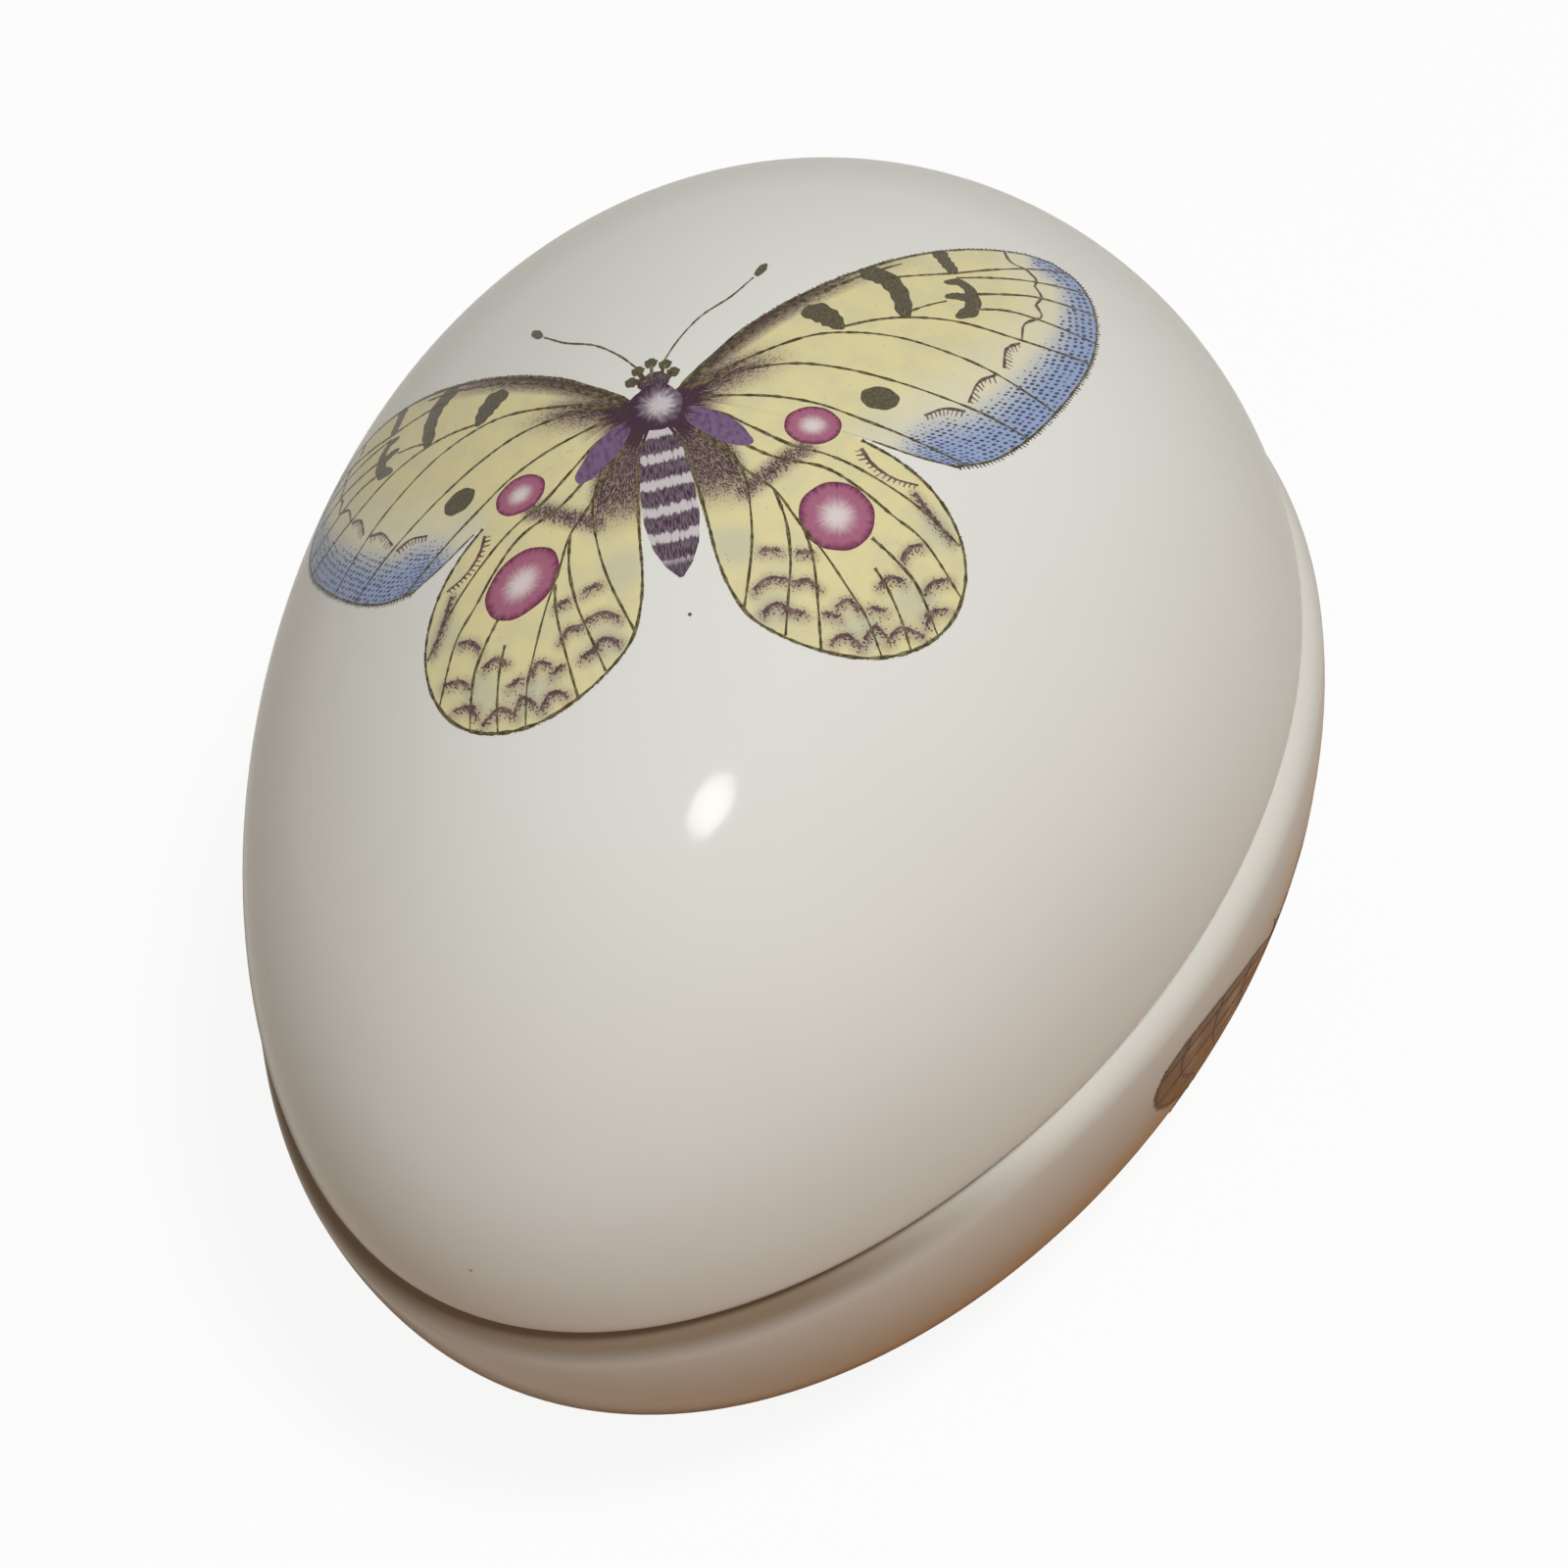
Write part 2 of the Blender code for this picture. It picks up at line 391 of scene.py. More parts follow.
class Paint(NodeSteps):
    """A colour under the clear glaze, which is the same over bare porcelain and over print."""

    def __init__(self, name):
        self.material = bpy.data.materials.new(name)
        self.material.use_nodes = True
        super().__init__(self.material.node_tree)
        self.shader = self.nodes["Principled BSDF"]
        self.shader.inputs["Roughness"].default_value = GLAZE_ROUGHNESS
        self.shader.inputs["IOR"].default_value = GLAZE_IOR
        self.shader.inputs["Specular IOR Level"].default_value = GLAZE_SPECULAR

    def done(self, colour):
        self.links.new(colour, self.shader.inputs["Base Color"])
        return self.material


# Porcelain

LID_LIGHT = (0.785, 0.765, 0.73)
LID_SHADE = (0.76, 0.74, 0.705)
BASE_LIGHT = (0.73, 0.695, 0.65)
BASE_SHADE = (0.705, 0.67, 0.625)
SPECK = (0.48, 0.42, 0.35)
# Painted warm shade: the base's lower outside is drawn darker and warmer as bounce light and shade
PAINTED_WARM_SHADE = (0.62, 0.53, 0.42)
# Painted shade: the seam at the base's narrow end is drawn dark where the lid's shadow falls
SEAM_PAINTED_SHADE = (0.25, 0.18, 0.125)
BISCUIT = (0.66, 0.60, 0.53)
BISCUIT_ROUGHNESS = 0.7

# Clouds, specks and ripples, at scales per metre
CLOUD_SCALE = 34
CLOUD_RANGE = (0.35, 0.65)
SPECK_SCALE = 90
SPECK_SIZE = 0.014
RIPPLE_SCALE = 120
RIPPLE_STRENGTH = 0.09
RIPPLE_DEPTH = 0.5 * MM

# Heights, and places along the egg, where the base is painted warmer and darker down its outside as bounce
# light and shade, darker in the seam at its narrow end as painted shade, and bare
WARM_SHADE_LEVELS = (27 * MM, 12 * MM)
SEAM_SHADE_LEVELS = (27.5 * MM, 29.5 * MM)
SEAM_SHADE_STRETCH = (-14 * MM, -36 * MM)
BARE_LEVELS = (0.6 * MM, 0.3 * MM)


def porcelain(name, light, shade):
    """Warm white porcelain, faintly clouded and rippled, with a few specks."""
    glaze = Paint(name)
    place = glaze.coordinates("Object")
    clouds = glaze.slope(glaze.noise(place, CLOUD_SCALE, 3), *CLOUD_RANGE)
    speck = glaze.math("LESS_THAN", glaze.dots(place, SPECK_SCALE, 1.0), SPECK_SIZE)
    ripple = glaze.noise(place, RIPPLE_SCALE, 4)
    bump = glaze.step("Bump", {"Strength": RIPPLE_STRENGTH, "Distance": RIPPLE_DEPTH, "Height": ripple})
    glaze.links.new(bump["Normal"], glaze.shader.inputs["Normal"])
    return glaze, place, glaze.mix(speck, glaze.mix(clouds, shade, light), SPECK)


def lid_glaze():
    glaze, _, colour = porcelain("lid_glaze", LID_LIGHT, LID_SHADE)
    return glaze.done(colour)


def base_glaze():
    """The base is painted warmer and darker down its outside as bounce light and shade, darker in the seam
    at its narrow end as painted shade, and bare on its foot.
    """
    glaze, place, colour = porcelain("base_glaze", BASE_LIGHT, BASE_SHADE)
    parts = glaze.parts(place)
    # Painted warm shade down the base's outside, standing in for bounce light and shade
    warm_shade = glaze.times(glaze.slope(parts["Z"], *WARM_SHADE_LEVELS), glaze.tint("outside"))
    colour = glaze.mix(warm_shade, colour, PAINTED_WARM_SHADE)
    # Painted shade in the seam at the narrow end, which also dulls the glaze there
    seam_shade = glaze.times(glaze.ramp(parts["Z"], *SEAM_SHADE_LEVELS), glaze.ramp(parts["X"], *SEAM_SHADE_STRETCH))
    colour = glaze.mix(seam_shade, colour, SEAM_PAINTED_SHADE)
    bare = glaze.slope(parts["Z"], *BARE_LEVELS)
    colour = glaze.mix(bare, colour, BISCUIT)
    bare_and_seam_shade = glaze.math("MAXIMUM", bare, seam_shade)
    dull = glaze.slope(bare_and_seam_shade, 0, 1, GLAZE_ROUGHNESS, BISCUIT_ROUGHNESS)
    glaze.links.new(dull, glaze.shader.inputs["Roughness"])
    return glaze.done(colour)


lid_shell = make_lid()
coat(lid_shell, lid_glaze())
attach(lid_shell, "lid")
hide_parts("lid")

base_bowl = make_base()
coat(base_bowl, base_glaze())
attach(base_bowl, "base")
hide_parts("base")


# Laying a flat drawing on the glaze

LAY_STEPS = 24
SETTLE_STEPS = 3
SHORTEST = 1e-12


def egg_skin(reach, side, height, level, tapered):
    """Gives a function of points: how far outside this glazed wall they lie, and the slope there."""
    def skin(points):
        x, y, z = points[:, 0], points[:, 1], points[:, 2] - level
        full = 1 + EGG_TAPER * x / LID_REACH
        rise = full if tapered else np.ones(len(points))
        a, b, c = x / reach, y / (side * full), z / (height * rise)
        lean = (b * b + (c * c if tapered else 0)) / full * EGG_TAPER / LID_REACH
        slope = np.stack([a / reach - lean, b / (side * full), c / (height * rise)], axis=1)
        return a * a + b * b + c * c - 1, 2 * slope
    return skin


def unit(vectors):
    return vectors / np.maximum(np.linalg.norm(vectors, axis=-1, keepdims=True), SHORTEST)


def settle(skin, points):
    for _ in range(SETTLE_STEPS):
        outside, slope = skin(points)
        points = points - slope * (outside / (slope * slope).sum(axis=1))[:, None]
    return points


class Ground:
    """A stretch of glaze, with the place and the heading of the drawing on it."""

    def __init__(self, skin, seat, heading, body, slot):
        self.skin = skin
        self.seat = settle(skin, np.array([seat]))
        normal = unit(skin(self.seat)[1])[0]
        heading = np.array(heading)
        self.head = unit(heading - normal * heading.dot(normal))
        self.right = np.cross(self.head, normal)
        self.body = body
        self.slot = slot

    def lay(self, flat, lift):
        """Bends drawing points, in millimetres, over the glaze, this many millimetres above it."""
        length = np.linalg.norm(flat, axis=1, keepdims=True)
        way = unit(flat[:, :1] * self.right + flat[:, 1:2] * self.head)
        points = np.repeat(self.seat, len(flat), axis=0)
        for _ in range(LAY_STEPS):
            points = settle(self.skin, points + way * length * MM / LAY_STEPS)
            normal = unit(self.skin(points)[1])
            way = unit(way - normal * (way * normal).sum(axis=1, keepdims=True))
        return points + normal * np.reshape(lift, (-1, 1)) * MM


# Drawing, in millimetres: x to the right and y towards the head

HAND_SEED = 11
HAND = np.random.default_rng(HAND_SEED)
PEN_WOBBLE = (0.6, 1.4)
HAIR_SPREAD = (0.6, 1.2)
RIM_POINTS = 97
FILM_THICKNESS = 0.02
LINE_FLATNESS = 0.05
DRAWING_WELD = 0.001
SIDES = (1, -1)

# Pens, by the widths that a stroke starts and ends with
VEIN_PEN = (0.20, 0.15)
FRONT_PEN = (0.28, 0.15)
REAR_PEN = (0.14, 0.12)
FORE_EDGE_PEN = (0.16, 0.16)
HIND_EDGE_PEN = (0.20, 0.20)
BROWN_PEN = (0.22, 0.15)
ROOT_PEN = (0.22, 0.05)
TUFT_PEN = (0.3, 0.24)
ANTENNA_PEN = (0.12, 0.12)
MOTH_PEN = (0.24, 0.18)
MOTH_EDGE_PEN = (0.28, 0.24)
FEELER_PEN = (0.18, 0.14)

# Distances between the points of a line
STROKE_SPACING = 0.4
HAIR_SPACING = 0.3
OUTLINE_SPACING = 0.25
TINT_SPACING = 0.3
ROW_SPACING = 0.2
BRUSH_SPACING = 0.1

# Fineness of the films, in columns and rows
HINDWING_GRID = (150, 60)
FOREWING_GRID = (170, 80)
MOTH_GRID = (110, 44)
ABDOMEN_GRID = (20, 60)
RIBBON_GRID = (36, 6)
SPOT_GRID = (48, 10)
LARGE_SPOT_GRID = (64, 12)
SMALL_SPOT_GRID = (24, 5)
SPECK_GRID = (16, 3)


def smooth_line(points, spacing):
    """Points about this far apart on a smooth curve through the given ones."""
    knots = np.array(points, float)
    ends = np.vstack([2 * knots[0] - knots[1], knots, 2 * knots[-1] - knots[-2]])
    line = [knots[0]]
    for index in range(len(knots) - 1):
        before, start, end, after = ends[index:index + 4]
        count = max(2, math.ceil(np.linalg.norm(end - start) / spacing))
        for t in np.arange(1, count + 1) / count:
            line.append(0.5 * (2 * start + (end - before) * t
                               + (2 * before - 5 * start + 4 * end - after) * t ** 2
                               + (3 * start - before - 3 * end + after) * t ** 3))
    return np.array(line)


def smooth_lines(lines, spacing):
    return np.vstack([smooth_line(line, spacing) for line in lines])


def along_line(line, share):
    """Points at these shares of a line's length."""
    steps = np.linalg.norm(np.diff(line, axis=0), axis=1)
    reach = np.concatenate([[0], np.cumsum(steps)]) / steps.sum()
    return np.stack([np.interp(share, reach, line[:, 0]), np.interp(share, reach, line[:, 1])], axis=1)


def ways_along(line, share, step):
    """A line's directions at these shares of its length, from a step behind to a step ahead."""
    ahead = along_line(line, np.minimum(share + step, 1))
    behind = along_line(line, np.maximum(share - step, 0))
    return unit(ahead - behind)


def square_to(ways):
    return np.stack([-ways[:, 1], ways[:, 0]], axis=1)


def right_half(flat):
    """The points, with those on the left mirrored to the right."""
    return np.abs(flat) * (1, 0) + flat * (0, 1)


def near(points, line, reach):
    """1 at the points of a line, falling to 0 at this reach from them."""
    gaps = np.linalg.norm(points[:, None, :] - np.array(line), axis=2).min(axis=1)
    return np.clip(1 - gaps / reach, 0, 1)


def fade(values, start, end):
    """1 up to start, falling smoothly to 0 at end."""
    t = np.clip((values - start) / (end - start), 0, 1)
    return 1 - t * t * (3 - 2 * t)


def stroke(points, pen, spacing=STROKE_SPACING):
    """A pen stroke: its line and its half widths, with the wobble of a hand."""
    line = smooth_line(points, spacing)
    width = np.linspace(*pen, len(line)) / 2
    return line, width * HAND.uniform(*PEN_WOBBLE, len(line))


def both_sides(strokes):
    return strokes + [(line * (-1, 1), width) for line, width in strokes]


def hairs(points, count, length, lean, width):
    """Short strokes that stand on one side of a line. A negative length is the other side."""
    line = smooth_line(points, ROW_SPACING)
    shares = (np.arange(count) + 0.5) / count
    ways = ways_along(line, shares, 0.05)
    strokes = []
    for root, way, side in zip(along_line(line, shares), ways, square_to(ways)):
        tip = root + (side + way * lean) * length * HAND.uniform(*HAIR_SPREAD)
        strokes.append(stroke([root, tip], (width, width / 2), HAIR_SPACING))
    return strokes


# Print films

def read_points(piece):
    points = np.empty(len(piece.data.vertices) * 3)
    piece.data.vertices.foreach_get("co", points)
    return points.reshape(-1, 3)


def write_points(piece, points):
    piece.data.vertices.foreach_set("co", np.ascontiguousarray(points, float).ravel())
    piece.data.update()


def sheet(grid, place, tints):
    """A grid shaped by a formula of its shares along and up, with a value for each tint at each point."""
    clear_selection()
    bpy.ops.mesh.primitive_grid_add(x_subdivisions=grid[0], y_subdivisions=grid[1], size=1)
    piece = bpy.context.object
    shares = read_points(piece) + 0.5
    along, up = shares[:, 0], shares[:, 1]
    flat = place(along, up)
    write_points(piece, np.column_stack([flat, np.zeros(len(flat))]))
    values = {"along": along, "rim": up, "right": flat[:, 0], "ahead": flat[:, 1], **tints(flat, up)}
    for name, value in values.items():
        tint = piece.data.attributes.new(name, "FLOAT", "POINT")
        tint.data.foreach_set("value", np.ascontiguousarray(value, np.float32))
    if sum(face.normal.z * face.area for face in piece.data.polygons) < 0:
        piece.data.flip_normals()
    return piece


def no_tints(flat, up):
    return {}


def fan(root, outline, grid, tints=no_tints, side=1):
    """A sheet that spreads from a root point to an outline."""
    centre = np.array(root)

    def place(along, up):
        flat = centre + (along_line(outline, along) - centre) * up[:, None]
        return flat * (side, 1)

    return sheet(grid, place, tints)


def wing_pair(edges, grid, tints):
    """A right and a left wing, spread from the first point of their edges."""
    outline = smooth_lines(edges, OUTLINE_SPACING)
    return [fan(edges[0][0], outline, grid, tints, side) for side in SIDES]


def spot(centre, across, tall, turn=0, bumps=0, grid=SPOT_GRID):
    """A round or oval spot, whose rim may be bumpy."""
    angle = np.radians(np.linspace(0, -360, RIM_POINTS))
    swell = 1 + bumps * np.sin(5 * angle + 1) + bumps * np.sin(8 * angle)
    flat = np.stack([across / 2 * np.cos(angle), tall / 2 * np.sin(angle)], axis=1) * swell[:, None]
    cos, sin = math.cos(math.radians(turn)), math.sin(math.radians(turn))
    return fan(centre, flat @ np.array([[cos, sin], [-sin, cos]]) + centre, grid)


def spot_pair(centre, across, tall, turn, bumps, grid=SPOT_GRID):
    """A spot on the right and its mirror image on the left."""
    x, y = centre
    return [spot((x * side, y), across, tall, turn * side, bumps, grid) for side in SIDES]


def ribbon(points, widths, side):
    """A brush mark along a line, with these widths along it, round ends and a ragged edge."""
    line = smooth_line(points, BRUSH_SPACING)

    def place(along, up):
        half = np.interp(along, np.linspace(0, 1, len(widths)), widths) / 2
        round_ends = np.sqrt(np.clip(1 - (2 * along - 1) ** 6, 0, 1))
        ragged = 1 + 0.09 * np.sin(31 * along + 9 * np.round(up))
        reach = (2 * up - 1) * (half * (round_ends * ragged))
        across = square_to(ways_along(line, along, 0.04)) * reach[:, None]
        return (along_line(line, along) + across) * (side, 1)

    return sheet(RIBBON_GRID, place, no_tints)


def joined(name, pieces):
    pick(*pieces)
    if len(pieces) > 1:
        bpy.ops.object.join()
    pieces[0].name = name
    on_all(bpy.ops.mesh.remove_doubles, threshold=DRAWING_WELD)
    return pieces[0]


def finish_print(piece, ground, paint):
    bpy.ops.object.shade_smooth_by_angle(angle=CREASE_ANGLE)
    coat(piece, paint)
    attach(piece, ground.body)


def print_film(name, sheets, ground, lift, paint):
    """Lays flat sheets on the glaze as one thin closed film."""
    film = joined(name, sheets)
    write_points(film, ground.lay(read_points(film)[:, :2], lift))
    solid = film.modifiers.new("thickness", "SOLIDIFY")
    solid.thickness = FILM_THICKNESS * MM
    solid.offset = -1
    bpy.ops.object.modifier_apply(modifier="thickness")
    finish_print(film, ground, paint)


def print_lines(name, strokes, ground, lift, paint):
    """Lays pen strokes on the glaze as one piece."""
    drawing = bpy.data.curves.new(name, "CURVE")
    drawing.dimensions = "3D"
    drawing.twist_mode = "Z_UP"
    drawing.bevel_depth = 1
    drawing.bevel_resolution = 0
    drawing.use_fill_caps = True
    for line, width in strokes:
        spline = drawing.splines.new("POLY")
        spline.points.add(len(line) - 1)
        for point, (x, y), half in zip(spline.points, line, width):
            point.co = (x, y, 0, 1)
            point.radius = half
    piece = bpy.data.objects.new(name, drawing)
    bpy.context.scene.collection.objects.link(piece)
    pick(piece)
    bpy.ops.object.convert(target="MESH")
    piece = joined(name, [bpy.context.object])
    points = read_points(piece)
    write_points(piece, ground.lay(points[:, :2], lift + points[:, 2] * LINE_FLATNESS))
    on_all(bpy.ops.mesh.normals_make_consistent, inside=False)
    finish_print(piece, ground, paint)


# Inks

WASH_YELLOW = (0.75, 0.66, 0.365)
WASH_GREEN = (0.585, 0.555, 0.395)
PALE = (0.74, 0.70, 0.58)
BLUE = (0.31, 0.375, 0.57)
DARK_BLUE = (0.07, 0.085, 0.17)
DUST = (0.085, 0.046, 0.056)
DUST_LIGHT = (0.24, 0.16, 0.17)
OLIVE = (0.075, 0.058, 0.030)
OLIVE_LIGHT = (0.24, 0.205, 0.115)
FRINGE = (0.05, 0.055, 0.075)
BROWN = (0.12, 0.070, 0.072)
BROWN_LIGHT = (0.26, 0.175, 0.16)
MARK = (0.105, 0.088, 0.056)
MARK_LIGHT = (0.17, 0.145, 0.10)
ROSE = (0.39, 0.135, 0.215)
ROSE_RIM = (0.15, 0.032, 0.080)
ROSE_MIDDLE = (0.72, 0.62, 0.62)
VIOLET = (0.205, 0.125, 0.235)
VIOLET_DARK = (0.13, 0.078, 0.15)
LILAC_WHITE = (0.60, 0.54, 0.565)
BAND_DARK = (0.070, 0.038, 0.060)
BAND_LIGHT = (0.19, 0.14, 0.18)
HEAD_LIGHT = (0.20, 0.15, 0.20)

# Dashes and ticks across a wing and from its root to its rim
WING_DASHES = ("along", 160, "rim", 50)
WING_TICKS = ("along", 260, "rim", 90)
FRECKLE_SIZE = 0.055
LINE_GRAIN = 2600
ABDOMEN_RINGS = 5.6


def wing_paint(name, wash, tinge, pale):
    """A tinted wing: its wash, a pale and a blue margin with rows of dashes, and stippled shading."""
    paint = Paint(name)
    flat = paint.place(paint.tint("right"), paint.tint("ahead"))
    mottle = paint.ramp(paint.noise(flat, 0.5, 3), 0.38, 0.68)
    colour = paint.mix(paint.times(mottle, 0.4), wash, tinge)
    colour = paint.mix(paint.tint("tinge"), colour, tinge)
    colour = paint.mix(paint.tint("pale"), colour, pale)
    blue = paint.tint("blue")
    colour = paint.mix(paint.ramp(blue, 0.05, 0.75), colour, BLUE)
    size = paint.times(paint.ramp(blue, 0.1, 0.5), 0.36)
    dashes = paint.stipple(size, paint.grid(*WING_DASHES), 1, 0.3, -0.05, 0.10)
    colour = paint.mix(dashes, colour, DARK_BLUE)
    dust = paint.tint("dust")
    colour = paint.mix(paint.times(paint.ramp(dust, 0.02, 0.8), 0.75), colour, DUST_LIGHT)
    ticks = paint.stipple(paint.times(dust, 0.85), paint.grid(*WING_TICKS), 1, 0.7, -0.08, 0.16)
    colour = paint.mix(ticks, colour, DUST)
    freckles = paint.stipple(FRECKLE_SIZE, flat, 1.7, 1.0, -0.01, 0.02)
    return paint.done(paint.mix(freckles, colour, MARK))


def line_paint(name, dark, light):
    """A pen line that is a little uneven along its length."""
    paint = Paint(name)
    grain = paint.ramp(paint.noise(paint.coordinates("Object"), LINE_GRAIN), 0.35, 0.75)
    return paint.done(paint.mix(grain, dark, light))


def mark_paint(name, ink, light):
    """A mark with a fine grain."""
    paint = Paint(name)
    flat = paint.place(paint.tint("right"), paint.tint("ahead"))
    grain = paint.ramp(paint.noise(flat, 5.0), 0.35, 0.8)
    return paint.done(paint.mix(grain, ink, light))


def rose_paint():
    """A rose spot that is almost white in the middle and has a dark rim, with streaks between."""
    paint = Paint("rose_ink")
    streak = paint.times(paint.uneven(paint.grid("along", 46, "rim", 2)), 0.38)
    reach = paint.plus(paint.tint("rim"), streak)
    colour = paint.mix(paint.ramp(reach, 0.10, 0.66), ROSE_MIDDLE, ROSE)
    return paint.done(paint.mix(paint.ramp(reach, 0.76, 1.04), colour, ROSE_RIM))


def violet_paint():
    paint = Paint("violet_ink")
    flat = paint.place(paint.tint("right"), paint.times(paint.tint("ahead"), 0.6))
    streak = paint.ramp(paint.noise(flat, 3.0), 0.4, 0.7)
    return paint.done(paint.mix(streak, VIOLET, VIOLET_DARK))


def thorax_paint():
    """Lilac white a little to one side, and dark towards the edge, in short hairs."""
    paint = Paint("thorax_ink")
    across = paint.math("POWER", paint.minus(paint.tint("right"), 0.35), 2)
    ahead = paint.math("POWER", paint.minus(paint.tint("ahead"), 0.1), 2)
    streak = paint.times(paint.uneven(paint.grid("along", 34, "rim", 2.5)), 1.5)
    reach = paint.plus(paint.math("SQRT", paint.plus(across, ahead)), streak)
    colour = paint.mix(paint.ramp(reach, 0.35, 1.25), LILAC_WHITE, BAND_LIGHT)
    return paint.done(paint.mix(paint.ramp(reach, 1.1, 1.7), colour, BAND_DARK))


def abdomen_paint():
    """Dark rings with ragged edges on lilac white."""
    paint = Paint("abdomen_ink")
    hatch = paint.grid("right", 5.5, "ahead", 0.9)
    bow = paint.times(paint.math("POWER", paint.math("ABSOLUTE", paint.tint("right")), 2), 0.02)
    step = paint.plus(paint.times(paint.tint("rim"), ABDOMEN_RINGS), bow)
    wave = paint.math("SINE", paint.times(paint.plus(step, 0.62), math.tau))
    ring = paint.plus(wave, paint.times(paint.uneven(hatch), 2.6))
    dark = paint.mix(paint.ramp(paint.noise(hatch, 2.0), 0.38, 0.62), BAND_DARK, BAND_LIGHT)
    colour = paint.mix(paint.ramp(ring, -0.75, -0.15), LILAC_WHITE, dark)
    tail = paint.ramp(paint.tint("rim"), 0.86, 0.93)
    return paint.done(paint.mix(tail, colour, dark))


# Heights of the print's layers over the glaze, in millimetres
HINDWING_LAYER = 0.02
FOREWING_LAYER = 0.026
MARK_LAYER = 0.034
ROSE_LAYER = 0.036
FRINGE_LAYER = 0.044
BROWN_LAYER = 0.045
LINE_LAYER = 0.046
CROWN_LAYER = 0.048
BODY_LAYER = 0.05
HEAD_LAYER = 0.052
VIOLET_LAYER = 0.052
THORAX_LAYER = 0.056


# The butterfly

FOREWING_FRONT = [(1.2, 0.6), (3.2, 2.5), (6.2, 5.0), (9.4, 7.1), (13.5, 9.4), (17.7, 11.5), (22.0, 13.2),
                  (26.0, 14.2), (28.3, 14.2)]
FOREWING_MARGIN = [(28.3, 14.2), (30.1, 12.8), (30.9, 10.4), (30.7, 7.2), (29.6, 3.8), (27.8, 0.8),
                   (25.6, -2.0), (23.4, -4.2), (21.0, -5.8), (18.4, -6.5)]
FOREWING_REAR = [(18.4, -6.5), (15.8, -5.8), (13.2, -4.7), (10.0, -3.3), (6.0, -1.7), (1.2, 0.6)]
HINDWING_FRONT = [(0.8, 0.2), (4.0, 0.0), (8.0, -1.6), (11.0, -3.2), (12.5, -4.6)]
HINDWING_MARGIN = [(12.5, -4.6), (14.6, -6.1), (16.4, -8.0), (17.6, -10.2), (18.1, -12.4), (17.9, -14.6),
                   (16.9, -16.7), (15.2, -18.2), (13.0, -19.0), (10.6, -19.1), (8.2, -18.5), (5.9, -17.4),
                   (3.9, -15.8), (2.9, -13.8), (2.4, -11.6), (2.2, -9.2), (1.9, -6.4), (1.3, -3.4),
                   (0.8, 0.2)]
FORE_VEINS = [
    [(2.0, 0.9), (5.3, 3.5), (8.4, 5.9), (11.2, 7.6), (14.2, 9.2), (17.0, 10.6)],
    [(2.6, 1.6), (6.4, 4.5), (9.8, 6.7), (13.6, 8.8)],
    [(2.0, 0.7), (5.2, 2.1), (9.9, 3.7), (12.8, 3.9), (15.8, 3.5), (18.8, 2.5), (22.0, 1.1),
     (26.1, -1.4)],
    [(12.4, 4.4), (14.7, 5.0), (17.2, 5.3), (20.3, 5.2), (24.3, 4.4), (29.6, 3.7)],
    [(2.2, 0.8), (5.0, 1.5), (8.9, 1.6), (12.1, 0.9), (15.3, -0.2), (18.4, -1.4), (21.1, -2.5),
     (23.8, -3.9)],
    [(2.0, 0.2), (4.9, -0.3), (7.7, -0.9), (10.3, -1.8), (12.8, -3.1), (15.2, -4.3), (19.2, -6.4)],
    [(16.4, 5.5), (18.0, 6.4), (19.6, 7.1)],
    [(15.4, 8.9), (20.2, 10.0), (23.3, 11.2), (26.5, 12.5), (29.4, 13.5)],
    [(20.6, 9.6), (23.4, 10.3), (26.2, 10.9), (30.6, 11.6)],
    [(21.5, 8.1), (24.4, 8.8), (26.6, 9.2), (30.9, 9.2)],
    [(21.4, 6.6), (23.7, 7.0), (26.0, 6.8), (30.5, 6.0)],
]
HIND_VEINS = [
    [(2.2, -0.9), (4.0, -1.5), (5.8, -2.9), (8.1, -4.6), (10.2, -5.5), (12.3, -6.8), (15.3, -9.2),
     (17.9, -12.0)],
    [(2.4, -1.6), (4.5, -3.5), (6.9, -5.3), (9.9, -6.4), (11.9, -8.0), (13.7, -9.9), (15.6, -11.8),
     (17.5, -15.4)],
    [(12.2, -11.4), (13.5, -12.9), (14.7, -14.7), (15.6, -17.8)],
    [(2.3, -2.2), (5.0, -5.9), (6.6, -7.6), (7.7, -9.8), (9.0, -12.1), (10.2, -14.6), (11.1, -16.6),
     (11.7, -19.0)],
    [(6.6, -7.6), (7.0, -9.9), (6.9, -12.3), (6.5, -14.2), (5.8, -17.2)],
    [(8.1, -10.6), (8.3, -12.5), (8.2, -14.8), (7.9, -18.3)],
    [(2.2, -2.4), (4.2, -4.4), (4.9, -6.4), (4.9, -9.2), (4.5, -11.8), (3.5, -15.2)],
    [(12.1, -13.4), (12.7, -14.7), (13.3, -16.7), (13.7, -18.8)],
]
SCALLOPS = [
    [(24.6, 13.8), (24.9, 12.7), (26.0, 12.2)],
    [(26.0, 12.2), (26.6, 11.3), (26.4, 10.5)],
    [(26.3, 10.5), (26.7, 9.4), (26.1, 8.3)],
    [(26.1, 8.3), (26.4, 7.3), (26.0, 6.8)],
    [(26.1, 6.9), (24.9, 6.0), (24.5, 4.5)],
    [(24.3, 4.1), (23.2, 3.3), (22.8, 1.6)],
    [(22.1, 0.9), (20.8, 0.1), (19.9, -1.6)],
    [(19.6, -2.3), (18.2, -2.2), (16.8, -2.8)],
]
